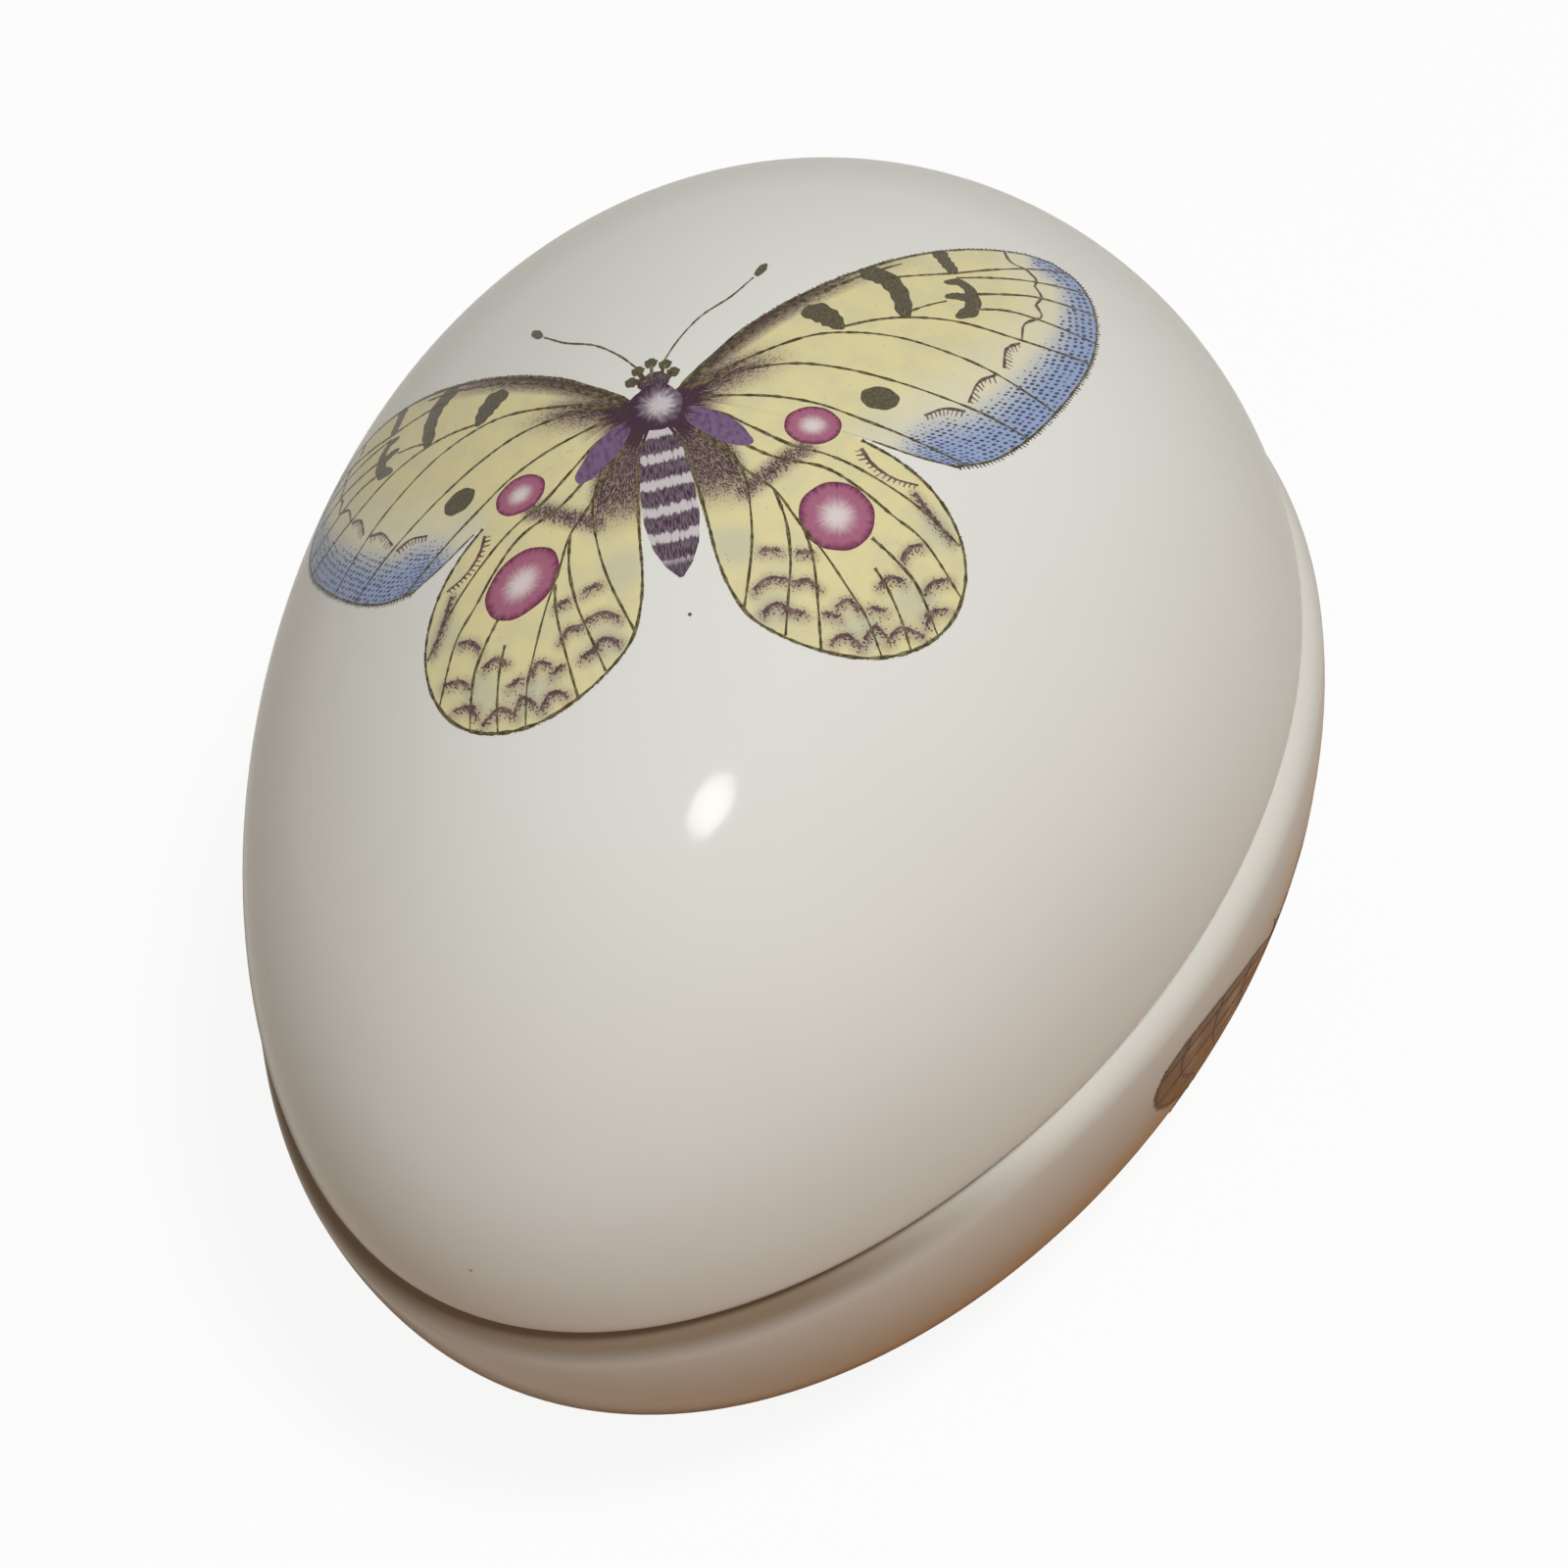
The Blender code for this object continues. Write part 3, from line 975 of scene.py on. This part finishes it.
LUNULES = [
    [(4.3, -14.0), (5.4, -13.4), (6.7, -13.7)],
    [(6.9, -13.9), (7.7, -13.8), (8.4, -14.4)],
    [(9.3, -15.7), (10.1, -15.3), (10.9, -16.1)],
    [(12.2, -14.5), (13.0, -14.0), (13.9, -14.3)],
    [(13.9, -13.0), (14.4, -12.2), (15.4, -11.9)],
    [(15.1, -15.0), (15.8, -14.4), (17.0, -14.2)],
    [(12.2, -18.2), (13.2, -17.3), (14.7, -17.9)],
    [(8.6, -17.9), (9.6, -17.5), (10.5, -18.4)],
    [(15.4, -8.4), (16.2, -9.8), (17.4, -11.6)],
    [(4.6, -15.6), (5.6, -15.1), (6.8, -15.9)],
    [(10.8, -17.9), (11.6, -17.1), (12.3, -18.0)],
    [(14.9, -17.2), (15.6, -16.3), (16.6, -16.2)],
]
HIND_EDGE_MARK = [(12.4, -5.2), (13.0, -6.4), (14.2, -7.4), (15.7, -7.9)]
HIND_DASHES = [
    [(5.2, -11.5), (6.3, -11.7)],
    [(7.4, -11.9), (8.3, -12.1)],
    [(8.5, -16.0), (9.3, -16.4)],
    [(6.0, -15.6), (7.2, -15.9)],
    [(14.9, -16.6), (15.7, -16.3)],
    [(11.5, -15.9), (12.4, -16.2)],
]
HIND_BAND = [(4.6, -7.4), (6.4, -6.4), (7.9, -5.4), (8.9, -4.9)]

# Hairs along the brown lines, as (count, length, lean, width)
BROWN_HAIRS = [
    (SCALLOPS[5:], [(9, 0.5, 0.3, 0.12)]),
    (LUNULES, [(8, -0.34, 0.8, 0.12), (3, 0.16, 0.9, 0.12)]),
    (HIND_DASHES, [(5, 0.2, 0.9, 0.14), (5, -0.2, 0.9, 0.14)]),
    ([HIND_EDGE_MARK], [(14, -0.5, 0.3, 0.12)]),
    ([HIND_BAND], [(13, 0.6, 0.4, 0.12), (13, -0.6, 0.4, 0.12)]),
]

# Brush marks of the forewing: their lines, and their widths along them
FORE_MARKS = [
    ([(9.9, 5.8), (11.2, 5.7), (12.5, 4.2)], [0.9, 1.8, 1.5, 0.7]),
    ([(14.1, 9.6), (15.7, 9.0), (16.5, 7.4), (16.6, 5.2)], [1.6, 1.6, 1.4, 1.2, 1.2]),
    ([(19.6, 12.5), (20.0, 11.4), (20.6, 10.0)], [1.5, 1.0, 1.0, 0.8]),
    ([(19.6, 9.0), (20.9, 9.1), (21.5, 7.9), (21.2, 6.5), (20.0, 5.6)], [0.6, 0.8, 1.0, 1.1, 0.7]),
    ([(19.5, 7.5), (20.4, 7.7), (21.2, 7.6)], [0.4, 0.7, 0.9]),
]
STRAY_SPECK = (0.1, -14.9)

# Where the wings are tinted. The blue margin's width goes by (place towards the head, width)
BLUE_REACH = [(-6.5, 5.4), (0.0, 5.0), (6.0, 4.4), (12.0, 3.4), (14.2, 2.6)]
FORE_ROOT = [(1.2, 0.4)]
FORE_STREAK = [(1.2, 0.4), (5.0, 1.5), (9.5, 2.4)]
FORE_TINGE = [(14.0, -4.0), (17.0, -5.2)]
HIND_ROOT = [(1.0, -1.0)]
HIND_SHADE = [(1.8, -1.6), (2.8, -4.0), (3.3, -6.4), (3.5, -8.6)]
HIND_TINGE = [(5.3, -15.4), (10.7, -17.4), (14.2, -15.8), (16.4, -10.8), (3.6, -11.0)]

# Half widths of the abdomen, as (share of its length, half width)
ABDOMEN_HALF = [(0.0, 1.0), (0.15, 1.35), (0.4, 1.72), (0.62, 1.78), (0.8, 1.45), (0.92, 0.85),
                (1.0, 0.12)]
ABDOMEN_TOP, ABDOMEN_TAIL = -1.8, -12.4

# Strokes at the wing roots: first and last turn in degrees, count, and reach from the thorax's middle
ROOT_FAN = (-68, 26, 40)
ROOT_START = 1.4
ROOT_ENDS = (2.0, 3.9)

CROWN = [(-1.35, 2.5), (-0.85, 3.3), (0.05, 3.7), (0.95, 3.3), (1.4, 2.5)]
ANTENNA = [(0.9, 3.6), (2.0, 5.2), (3.6, 6.9), (5.6, 8.2), (7.2, 9.8)]


def forewing_tints(flat, up):
    points = right_half(flat)
    front = smooth_line(FOREWING_FRONT[:6], STROKE_SPACING)
    margin = smooth_line(FOREWING_MARGIN, STROKE_SPACING)
    streak = smooth_line(FORE_STREAK, STROKE_SPACING)
    dust = np.maximum.reduce([
        near(points, front, 1.5) ** 0.5 * fade(points[:, 0], 8, 22),
        near(points, streak, 2.2) ** 0.8 * fade(points[:, 0], 3, 12),
        np.clip(1.5 * near(points, FORE_ROOT, 4.6), 0, 1)])
    outer = fade(-up, -0.72, -0.45)
    reach = np.interp(points[:, 1], *np.array(BLUE_REACH).T)
    return {"dust": dust,
            "blue": near(points, margin, reach) * outer,
            "pale": near(points, margin, 1.7 * reach) ** 0.7 * outer,
            "tinge": 0.8 * near(points, FORE_TINGE, 2.6)}


def hindwing_tints(flat, up):
    points = right_half(flat)
    shade = np.clip(1.7 * near(points, smooth_line(HIND_SHADE, TINT_SPACING), 2.3), 0, 0.8)
    smudges = smooth_lines(LUNULES + HIND_DASHES, TINT_SPACING) - (0, 0.2)
    dust = np.maximum.reduce([
        shade * fade(-points[:, 1], 5.6, 9.8),
        np.clip(1.6 * near(points, HIND_ROOT, 3.8), 0, 1),
        0.8 * near(points, smooth_line(HIND_BAND, TINT_SPACING), 1.1) ** 0.7,
        0.62 * near(points, smudges, 0.9)])
    zero = np.zeros(len(flat))
    tinge = 0.85 * fade(1 - near(points, HIND_TINGE, 2.2), 0.25, 0.95)
    return {"dust": dust, "blue": zero, "pale": zero, "tinge": tinge}


def print_wings(ground):
    wash = wing_paint("wing_wash", WASH_YELLOW, WASH_GREEN, PALE)
    hindwings = wing_pair([HINDWING_FRONT, HINDWING_MARGIN], HINDWING_GRID, hindwing_tints)
    print_film("hindwing_wash", hindwings, ground, HINDWING_LAYER, wash)
    forewings = wing_pair([FOREWING_FRONT, FOREWING_MARGIN, FOREWING_REAR], FOREWING_GRID, forewing_tints)
    print_film("forewing_wash", forewings, ground, FOREWING_LAYER, wash)


def print_spots(ground):
    violets = spot_pair((3.7, -2.4), 5.2, 1.75, turn=-41, bumps=0.02)
    print_film("violet_patches", violets, ground, VIOLET_LAYER, violet_paint())
    roses = spot_pair((9.6, -3.3), 3.6, 2.8, turn=-6, bumps=0.008)
    roses.append(spot((10.2, -9.8), 4.8, 4.7, turn=0, bumps=0.008, grid=LARGE_SPOT_GRID))
    roses.append(spot((-10.3, -9.7), 5.7, 4.1, turn=25, bumps=0.008, grid=LARGE_SPOT_GRID))
    print_film("rose_spots", roses, ground, ROSE_LAYER, rose_paint())
    marks = []
    for side in SIDES:
        marks += [ribbon(line, widths, side) for line, widths in FORE_MARKS]
        marks.append(spot((14.1 * side, -1.5), 2.5, 1.8, turn=-5 * side, bumps=0.02))
    marks.append(spot(STRAY_SPECK, 0.24, 0.24, grid=SPECK_GRID))
    print_film("dark_marks", marks, ground, MARK_LAYER, mark_paint("mark_ink", MARK, MARK_LIGHT))


def print_wing_lines(ground):
    lines = [stroke(line, VEIN_PEN) for line in FORE_VEINS + HIND_VEINS]
    lines += [stroke(FOREWING_FRONT, FRONT_PEN), stroke(FOREWING_REAR[:3], REAR_PEN),
              stroke(HINDWING_MARGIN, HIND_EDGE_PEN), stroke(FOREWING_MARGIN, FORE_EDGE_PEN)]
    lines += hairs(FOREWING_FRONT[2:], count=70, length=0.20, lean=-0.6, width=0.11)
    lines += hairs(HINDWING_MARGIN, count=110, length=0.13, lean=0.4, width=0.11)
    ink = line_paint("line_ink", OLIVE, OLIVE_LIGHT)
    print_lines("wing_lines", both_sides(lines), ground, LINE_LAYER, ink)
    fringe = hairs(FOREWING_MARGIN, count=96, length=0.28, lean=-0.5, width=0.12)
    ink = line_paint("fringe_ink", FRINGE, DARK_BLUE)
    print_lines("wing_fringe", both_sides(fringe), ground, FRINGE_LAYER, ink)


def print_brown_strokes(ground):
    bare_lines = SCALLOPS + LUNULES + HIND_DASHES + [HIND_EDGE_MARK]
    strokes = [stroke(line, BROWN_PEN) for line in bare_lines]
    for lines, rows in BROWN_HAIRS:
        for line in lines:
            for row in rows:
                strokes += hairs(line, *row)
    ink = line_paint("brown_ink", BROWN, BROWN_LIGHT)
    print_lines("brown_strokes", both_sides(strokes), ground, BROWN_LAYER, ink)


def print_root_strokes(ground):
    """Dark strokes that spread over the wings from the thorax."""
    strokes = []
    for turn in np.radians(np.linspace(*ROOT_FAN)):
        way = np.array([math.cos(turn), math.sin(turn)])
        strokes.append(stroke([ROOT_START * way, HAND.uniform(*ROOT_ENDS) * way], ROOT_PEN, HAIR_SPACING))
    ink = line_paint("root_ink", BAND_DARK, DUST)
    print_lines("root_strokes", both_sides(strokes), ground, BODY_LAYER, ink)


def print_body(ground):
    def place(along, up):
        half = np.interp(up, *np.array(ABDOMEN_HALF).T)
        ahead = ABDOMEN_TOP + (ABDOMEN_TAIL - ABDOMEN_TOP) * up
        return np.stack([half * (2 * along - 1), ahead], axis=1)

    abdomen = sheet(ABDOMEN_GRID, place, no_tints)
    print_film("abdomen", [abdomen], ground, BODY_LAYER, abdomen_paint())
    thorax = spot((0, 0), 3.5, 3.7, bumps=0.02)
    print_film("thorax", [thorax], ground, THORAX_LAYER, thorax_paint())
    head = spot((0.1, 2.1), 2.2, 1.5, bumps=0.05)
    print_film("head", [head], ground, HEAD_LAYER, mark_paint("head_ink", BAND_DARK, HEAD_LIGHT))
    crown = [spot(tuft, 0.85, 0.8, bumps=0.07, grid=SMALL_SPOT_GRID) for tuft in CROWN]
    clubs = spot_pair((7.75, 10.5), 0.62, 1.4, turn=-32, bumps=0.05, grid=SMALL_SPOT_GRID)
    ink = mark_paint("crown_ink", MARK, MARK_LIGHT)
    print_film("crown_and_clubs", crown + clubs, ground, CROWN_LAYER, ink)
    antennae = both_sides([stroke(ANTENNA, ANTENNA_PEN)])
    antennae += [stroke([(0.5 * x, 2.2), (x, y)], TUFT_PEN) for x, y in CROWN]
    print_lines("antennae", antennae, ground, BODY_LAYER, line_paint("antenna_ink", OLIVE, OLIVE_LIGHT))


# The small moth on the base's flank

MOTH_FRONT = [(1.0, 1.4), (4.0, 3.6), (7.0, 4.5), (11.0, 4.9), (14.6, 4.5), (16.8, 3.4)]
MOTH_MARGIN = [(16.8, 3.4), (17.5, 1.6), (16.8, -0.6), (15.0, -2.6), (12.8, -4.0), (10.8, -4.4)]
MOTH_REAR = [(10.8, -4.4), (7.5, -3.0), (4.0, -1.4), (1.0, 0.0)]
MOTH_HIND = [(1.0, -0.4), (6.0, -2.4), (10.6, -4.2), (11.6, -6.2), (10.8, -8.6), (8.6, -10.0), (6.0, -9.8),
             (3.6, -8.0), (1.8, -5.0), (1.0, -0.4)]
MOTH_VEINS = [
    [(1.6, 1.2), (5.0, 3.0), (9.0, 3.7), (13.0, 3.5), (17.3, 2.4)],
    [(1.8, 0.9), (5.5, 1.4), (9.5, 1.5), (13.5, 0.8), (16.7, -0.6)],
    [(1.8, 0.6), (5.5, 0.2), (9.0, -0.7), (12.2, -2.0), (14.2, -3.1)],
    [(1.8, -0.8), (5.0, -3.2), (8.0, -5.2), (11.4, -7.0)],
    [(1.8, -1.4), (4.2, -4.6), (6.6, -7.0), (8.8, -9.8)],
    [(1.6, -1.8), (2.8, -4.8), (4.2, -7.2), (5.4, -9.4)],
]
MOTH_BANDS = [
    [(5.6, 4.2), (6.2, 2.4), (5.8, 0.4), (5.0, -1.8)],
    [(10.0, 4.8), (10.6, 2.6), (10.0, 0.2), (8.8, -1.8), (8.0, -3.2)],
    [(14.2, 4.4), (14.8, 2.2), (13.8, -0.2), (12.0, -2.2), (10.4, -3.8)],
    [(9.8, -4.6), (9.4, -7.0), (7.6, -8.4), (5.2, -8.0), (3.2, -6.4)],
]
MOTH_SPOTS = [(13.4, 2.9), (13.0, 0.6), (11.2, -1.7), (8.2, 2.6), (7.8, 0.7), (6.6, -1.2), (8.2, -6.6),
              (5.6, -7.0)]
MOTH_FEELER = [(0.4, 2.2), (0.9, 3.2), (1.5, 3.9)]
MOTH_ROOT = [(1.0, 0.0)]
MOTH_WASH = (0.25, 0.14, 0.072)
MOTH_TINGE = (0.17, 0.095, 0.055)
MOTH_PALE = (0.43, 0.31, 0.21)
MOTH_LINE = (0.085, 0.050, 0.034)


def moth_tints(flat, up):
    points = right_half(flat)
    bands = near(points, smooth_lines(MOTH_BANDS, TINT_SPACING), 1.0)
    root = near(points, MOTH_ROOT, 6.0)
    pale = 0.8 * fade(1 - near(points, MOTH_SPOTS, 1.3), 0.1, 1.0)
    zero = np.zeros(len(flat))
    return {"dust": 0.5 * np.maximum(bands, root), "blue": zero, "pale": pale, "tinge": zero}


def print_moth(ground):
    wash = wing_paint("moth_wash", MOTH_WASH, MOTH_TINGE, MOTH_PALE)
    hindwings = wing_pair([MOTH_HIND], MOTH_GRID, moth_tints)
    print_film("moth_hindwings", hindwings, ground, HINDWING_LAYER, wash)
    forewings = wing_pair([MOTH_FRONT, MOTH_MARGIN, MOTH_REAR], MOTH_GRID, moth_tints)
    print_film("moth_forewings", forewings, ground, FOREWING_LAYER, wash)
    lines = [stroke(line, MOTH_PEN) for line in MOTH_VEINS + MOTH_BANDS]
    lines += [stroke(line, MOTH_EDGE_PEN) for line in (MOTH_FRONT, MOTH_MARGIN, MOTH_REAR, MOTH_HIND)]
    lines += hairs(MOTH_MARGIN, count=34, length=0.4, lean=-0.4, width=0.17)
    lines.append(stroke(MOTH_FEELER, FEELER_PEN))
    ink = line_paint("moth_ink", MOTH_LINE, MOTH_TINGE)
    print_lines("moth_lines", both_sides(lines), ground, FRINGE_LAYER, ink)
    body = [spot((0, 0.6), 2.4, 3.6, bumps=0.03), spot((0, -3.8), 2.0, 6.4, bumps=0.02)]
    print_film("moth_body", body, ground, BODY_LAYER, mark_paint("moth_body_ink", MOTH_LINE, MOTH_WASH))


# Where the two figures sit, and which way they head
BUTTERFLY_SEAT = (4.71 * MM, 2.50 * MM, LID_LEVEL + LID_TOP)
BUTTERFLY_HEADING = (0.838, 0.546, 0.0)
MOTH_SEAT = (6.5 * MM, -34.0 * MM, LID_LEVEL - 13.8 * MM)
MOTH_HEADING = (0.24, 0.0, 0.97)

lid_skin = egg_skin(LID_REACH, LID_SIDE, LID_TOP, LID_LEVEL, True)
lid_print = Ground(lid_skin, BUTTERFLY_SEAT, BUTTERFLY_HEADING, "lid", "lid_glaze")
print_wings(lid_print)
print_spots(lid_print)
print_wing_lines(lid_print)
print_brown_strokes(lid_print)
print_root_strokes(lid_print)
print_body(lid_print)

base_reach, base_side = LID_REACH + SHOULDER_REACH, LID_SIDE + SHOULDER_REACH
base_skin = egg_skin(base_reach, base_side, BOWL_DEPTH, WIDEST_LEVEL, False)
base_print = Ground(base_skin, MOTH_SEAT, MOTH_HEADING, "base", "base_glaze")
print_moth(base_print)


# Stage

CAMERA_TURN = math.radians(-47.82)
CAMERA_RISE = math.radians(57.23)
CAMERA_ROLL = math.radians(-19.06)
CAMERA_DISTANCE = 319.2 * MM
SEAM_CENTRE = Vector((0, 0, LID_LEVEL))
camera_back = Vector((math.sin(CAMERA_TURN) * math.cos(CAMERA_RISE),
                      -math.cos(CAMERA_TURN) * math.cos(CAMERA_RISE),
                      math.sin(CAMERA_RISE)))
level_right = Vector((math.cos(CAMERA_TURN), math.sin(CAMERA_TURN), 0))
level_up = camera_back.cross(level_right)
camera_right = math.cos(CAMERA_ROLL) * level_right + math.sin(CAMERA_ROLL) * level_up
camera_up = camera_back.cross(camera_right)

SENSOR_WIDTH = 36
NEAREST_SEEN = 10 * MM

# The photograph's side, focal length and centre, in pixels
PHOTO_SIDE = 1600
FOCAL_LENGTH = 4750.7
PHOTO_CENTRE = (774.1, 785.1)

KEY_WAY = (camera_right * 0.18 + camera_up * 0.36 + camera_back * 0.91).normalized()
KEY_DISTANCE = 850 * MM
KEY_SIZE = 200 * MM
KEY_POWER = 4.8
KEY_COLOUR = (0.87, 0.94, 0.955)
GLINT_WAY = (camera_back + camera_up * 0.05 - camera_right * 0.03).normalized()
GLINT_DISTANCE = 620 * MM
GLINT_SIZE = 85 * MM
GLINT_POWER = 0.45
WHITE = (1.0, 1.0, 1.0)

# The way from the camera past the box, level with the floor
AWAY = Vector((-camera_back.x, -camera_back.y, 0))

# The floor lights the box warmly in front and palely beside and behind, and close to the box it is painted
# warm and dark as shade under the box. The camera sees it white
FLOOR_SIDE = 6
FLOOR_DROP = 0.2 * MM
FLOOR_WARM = (0.37, 0.185, 0.085)
FLOOR_PALE = (0.74, 0.71, 0.67)
FLOOR_WHITE = (0.95, 0.95, 0.95)
FLOOR_GLOW = 0.9
PALE_BEHIND = (-55 * MM, 0.0)
PALE_BESIDE = (32 * MM, 58 * MM)
FLOOR_MIRRORED = (70 * MM, 300 * MM)

# The sky lights the box more warmly from the camera's side. The camera, and low gloss, see it white
SKY_FRONT = (0.21, 0.151, 0.097)
SKY_BEHIND = (0.20, 0.17, 0.133)
SKY_TURN = (-0.6, -0.1)
SKY_MIRRORED = (0.7, 0.0)


def make_floor():
    clear_selection()
    bpy.ops.mesh.primitive_plane_add(size=FLOOR_SIDE, location=(0, 0, -FLOOR_DROP))
    floor = bpy.context.object
    floor.name = "floor"
    material = bpy.data.materials.new("pale_floor")
    material.use_nodes = True
    material.node_tree.nodes.clear()
    steps = NodeSteps(material.node_tree)
    place = steps.coordinates("Object")
    distance = steps.length(place)
    behind = steps.slope(steps.along_way(place, AWAY), *PALE_BEHIND)
    # Close to the box the floor is painted warm and dark, a painted shadow that the box sees in its bounce
    # light and gloss
    pale = steps.times(behind, steps.slope(distance, *PALE_BESIDE))
    lit = steps.diffuse(steps.mix(pale, FLOOR_WARM, FLOOR_PALE))
    glow = steps.step("Emission", {"Color": WHITE, "Strength": 1})["Emission"]
    seen = steps.mix_shaders(FLOOR_GLOW, steps.diffuse(FLOOR_WHITE), glow)
    share = steps.seen_share(steps.slope(distance, *FLOOR_MIRRORED))
    steps.step("OutputMaterial", {"Surface": steps.mix_shaders(share, lit, seen)})
    floor.data.materials.append(material)


def make_camera():
    clear_selection()
    bpy.ops.object.camera_add()
    camera = bpy.context.object
    turn = Matrix((camera_right, camera_up, camera_back)).transposed()
    camera.matrix_world = (Matrix.Translation(SEAM_CENTRE + camera_back * CAMERA_DISTANCE)
                           @ turn.to_4x4())
    camera.data.sensor_width = SENSOR_WIDTH
    camera.data.lens = SENSOR_WIDTH * FOCAL_LENGTH / PHOTO_SIDE
    camera.data.shift_x = (PHOTO_SIDE / 2 - PHOTO_CENTRE[0]) / PHOTO_SIDE
    camera.data.shift_y = (PHOTO_CENTRE[1] - PHOTO_SIDE / 2) / PHOTO_SIDE
    camera.data.clip_start = NEAREST_SEEN
    bpy.context.scene.camera = camera


def soft_lamp(name, way, distance, size, power, colour, mirrored):
    """A round soft lamp that faces the box."""
    place = SEAM_CENTRE + way * distance
    clear_selection()
    bpy.ops.object.light_add(type="AREA", location=place)
    lamp = bpy.context.object
    lamp.name = name
    lamp.rotation_euler = (place - SEAM_CENTRE).to_track_quat("Z", "Y").to_euler()
    lamp.data.shape = "DISK"
    lamp.data.size = size
    lamp.data.energy = power
    lamp.data.color = colour
    lamp.visible_glossy = mirrored


def make_world():
    world = bpy.data.worlds.new("studio")
    bpy.context.scene.world = world
    world.use_nodes = True
    world.node_tree.nodes.clear()
    steps = NodeSteps(world.node_tree)
    way = steps.coordinates("Generated")
    behind = steps.ramp(steps.along_way(way, AWAY), *SKY_TURN)
    tone = steps.mix(behind, SKY_FRONT, SKY_BEHIND)
    sky = steps.step("Background", {"Color": tone, "Strength": 1})["Background"]
    backdrop = steps.step("Background", {"Color": WHITE, "Strength": 1})["Background"]
    share = steps.seen_share(steps.ramp(steps.parts(way)["Z"], *SKY_MIRRORED))
    steps.step("OutputWorld", {"Surface": steps.mix_shaders(share, sky, backdrop)})


make_floor()
make_camera()
soft_lamp("key", KEY_WAY, KEY_DISTANCE, KEY_SIZE, KEY_POWER, KEY_COLOUR, mirrored=False)
soft_lamp("glint", GLINT_WAY, GLINT_DISTANCE, GLINT_SIZE, GLINT_POWER, WHITE, mirrored=True)
make_world()
bpy.context.scene.view_settings.view_transform = "Standard"
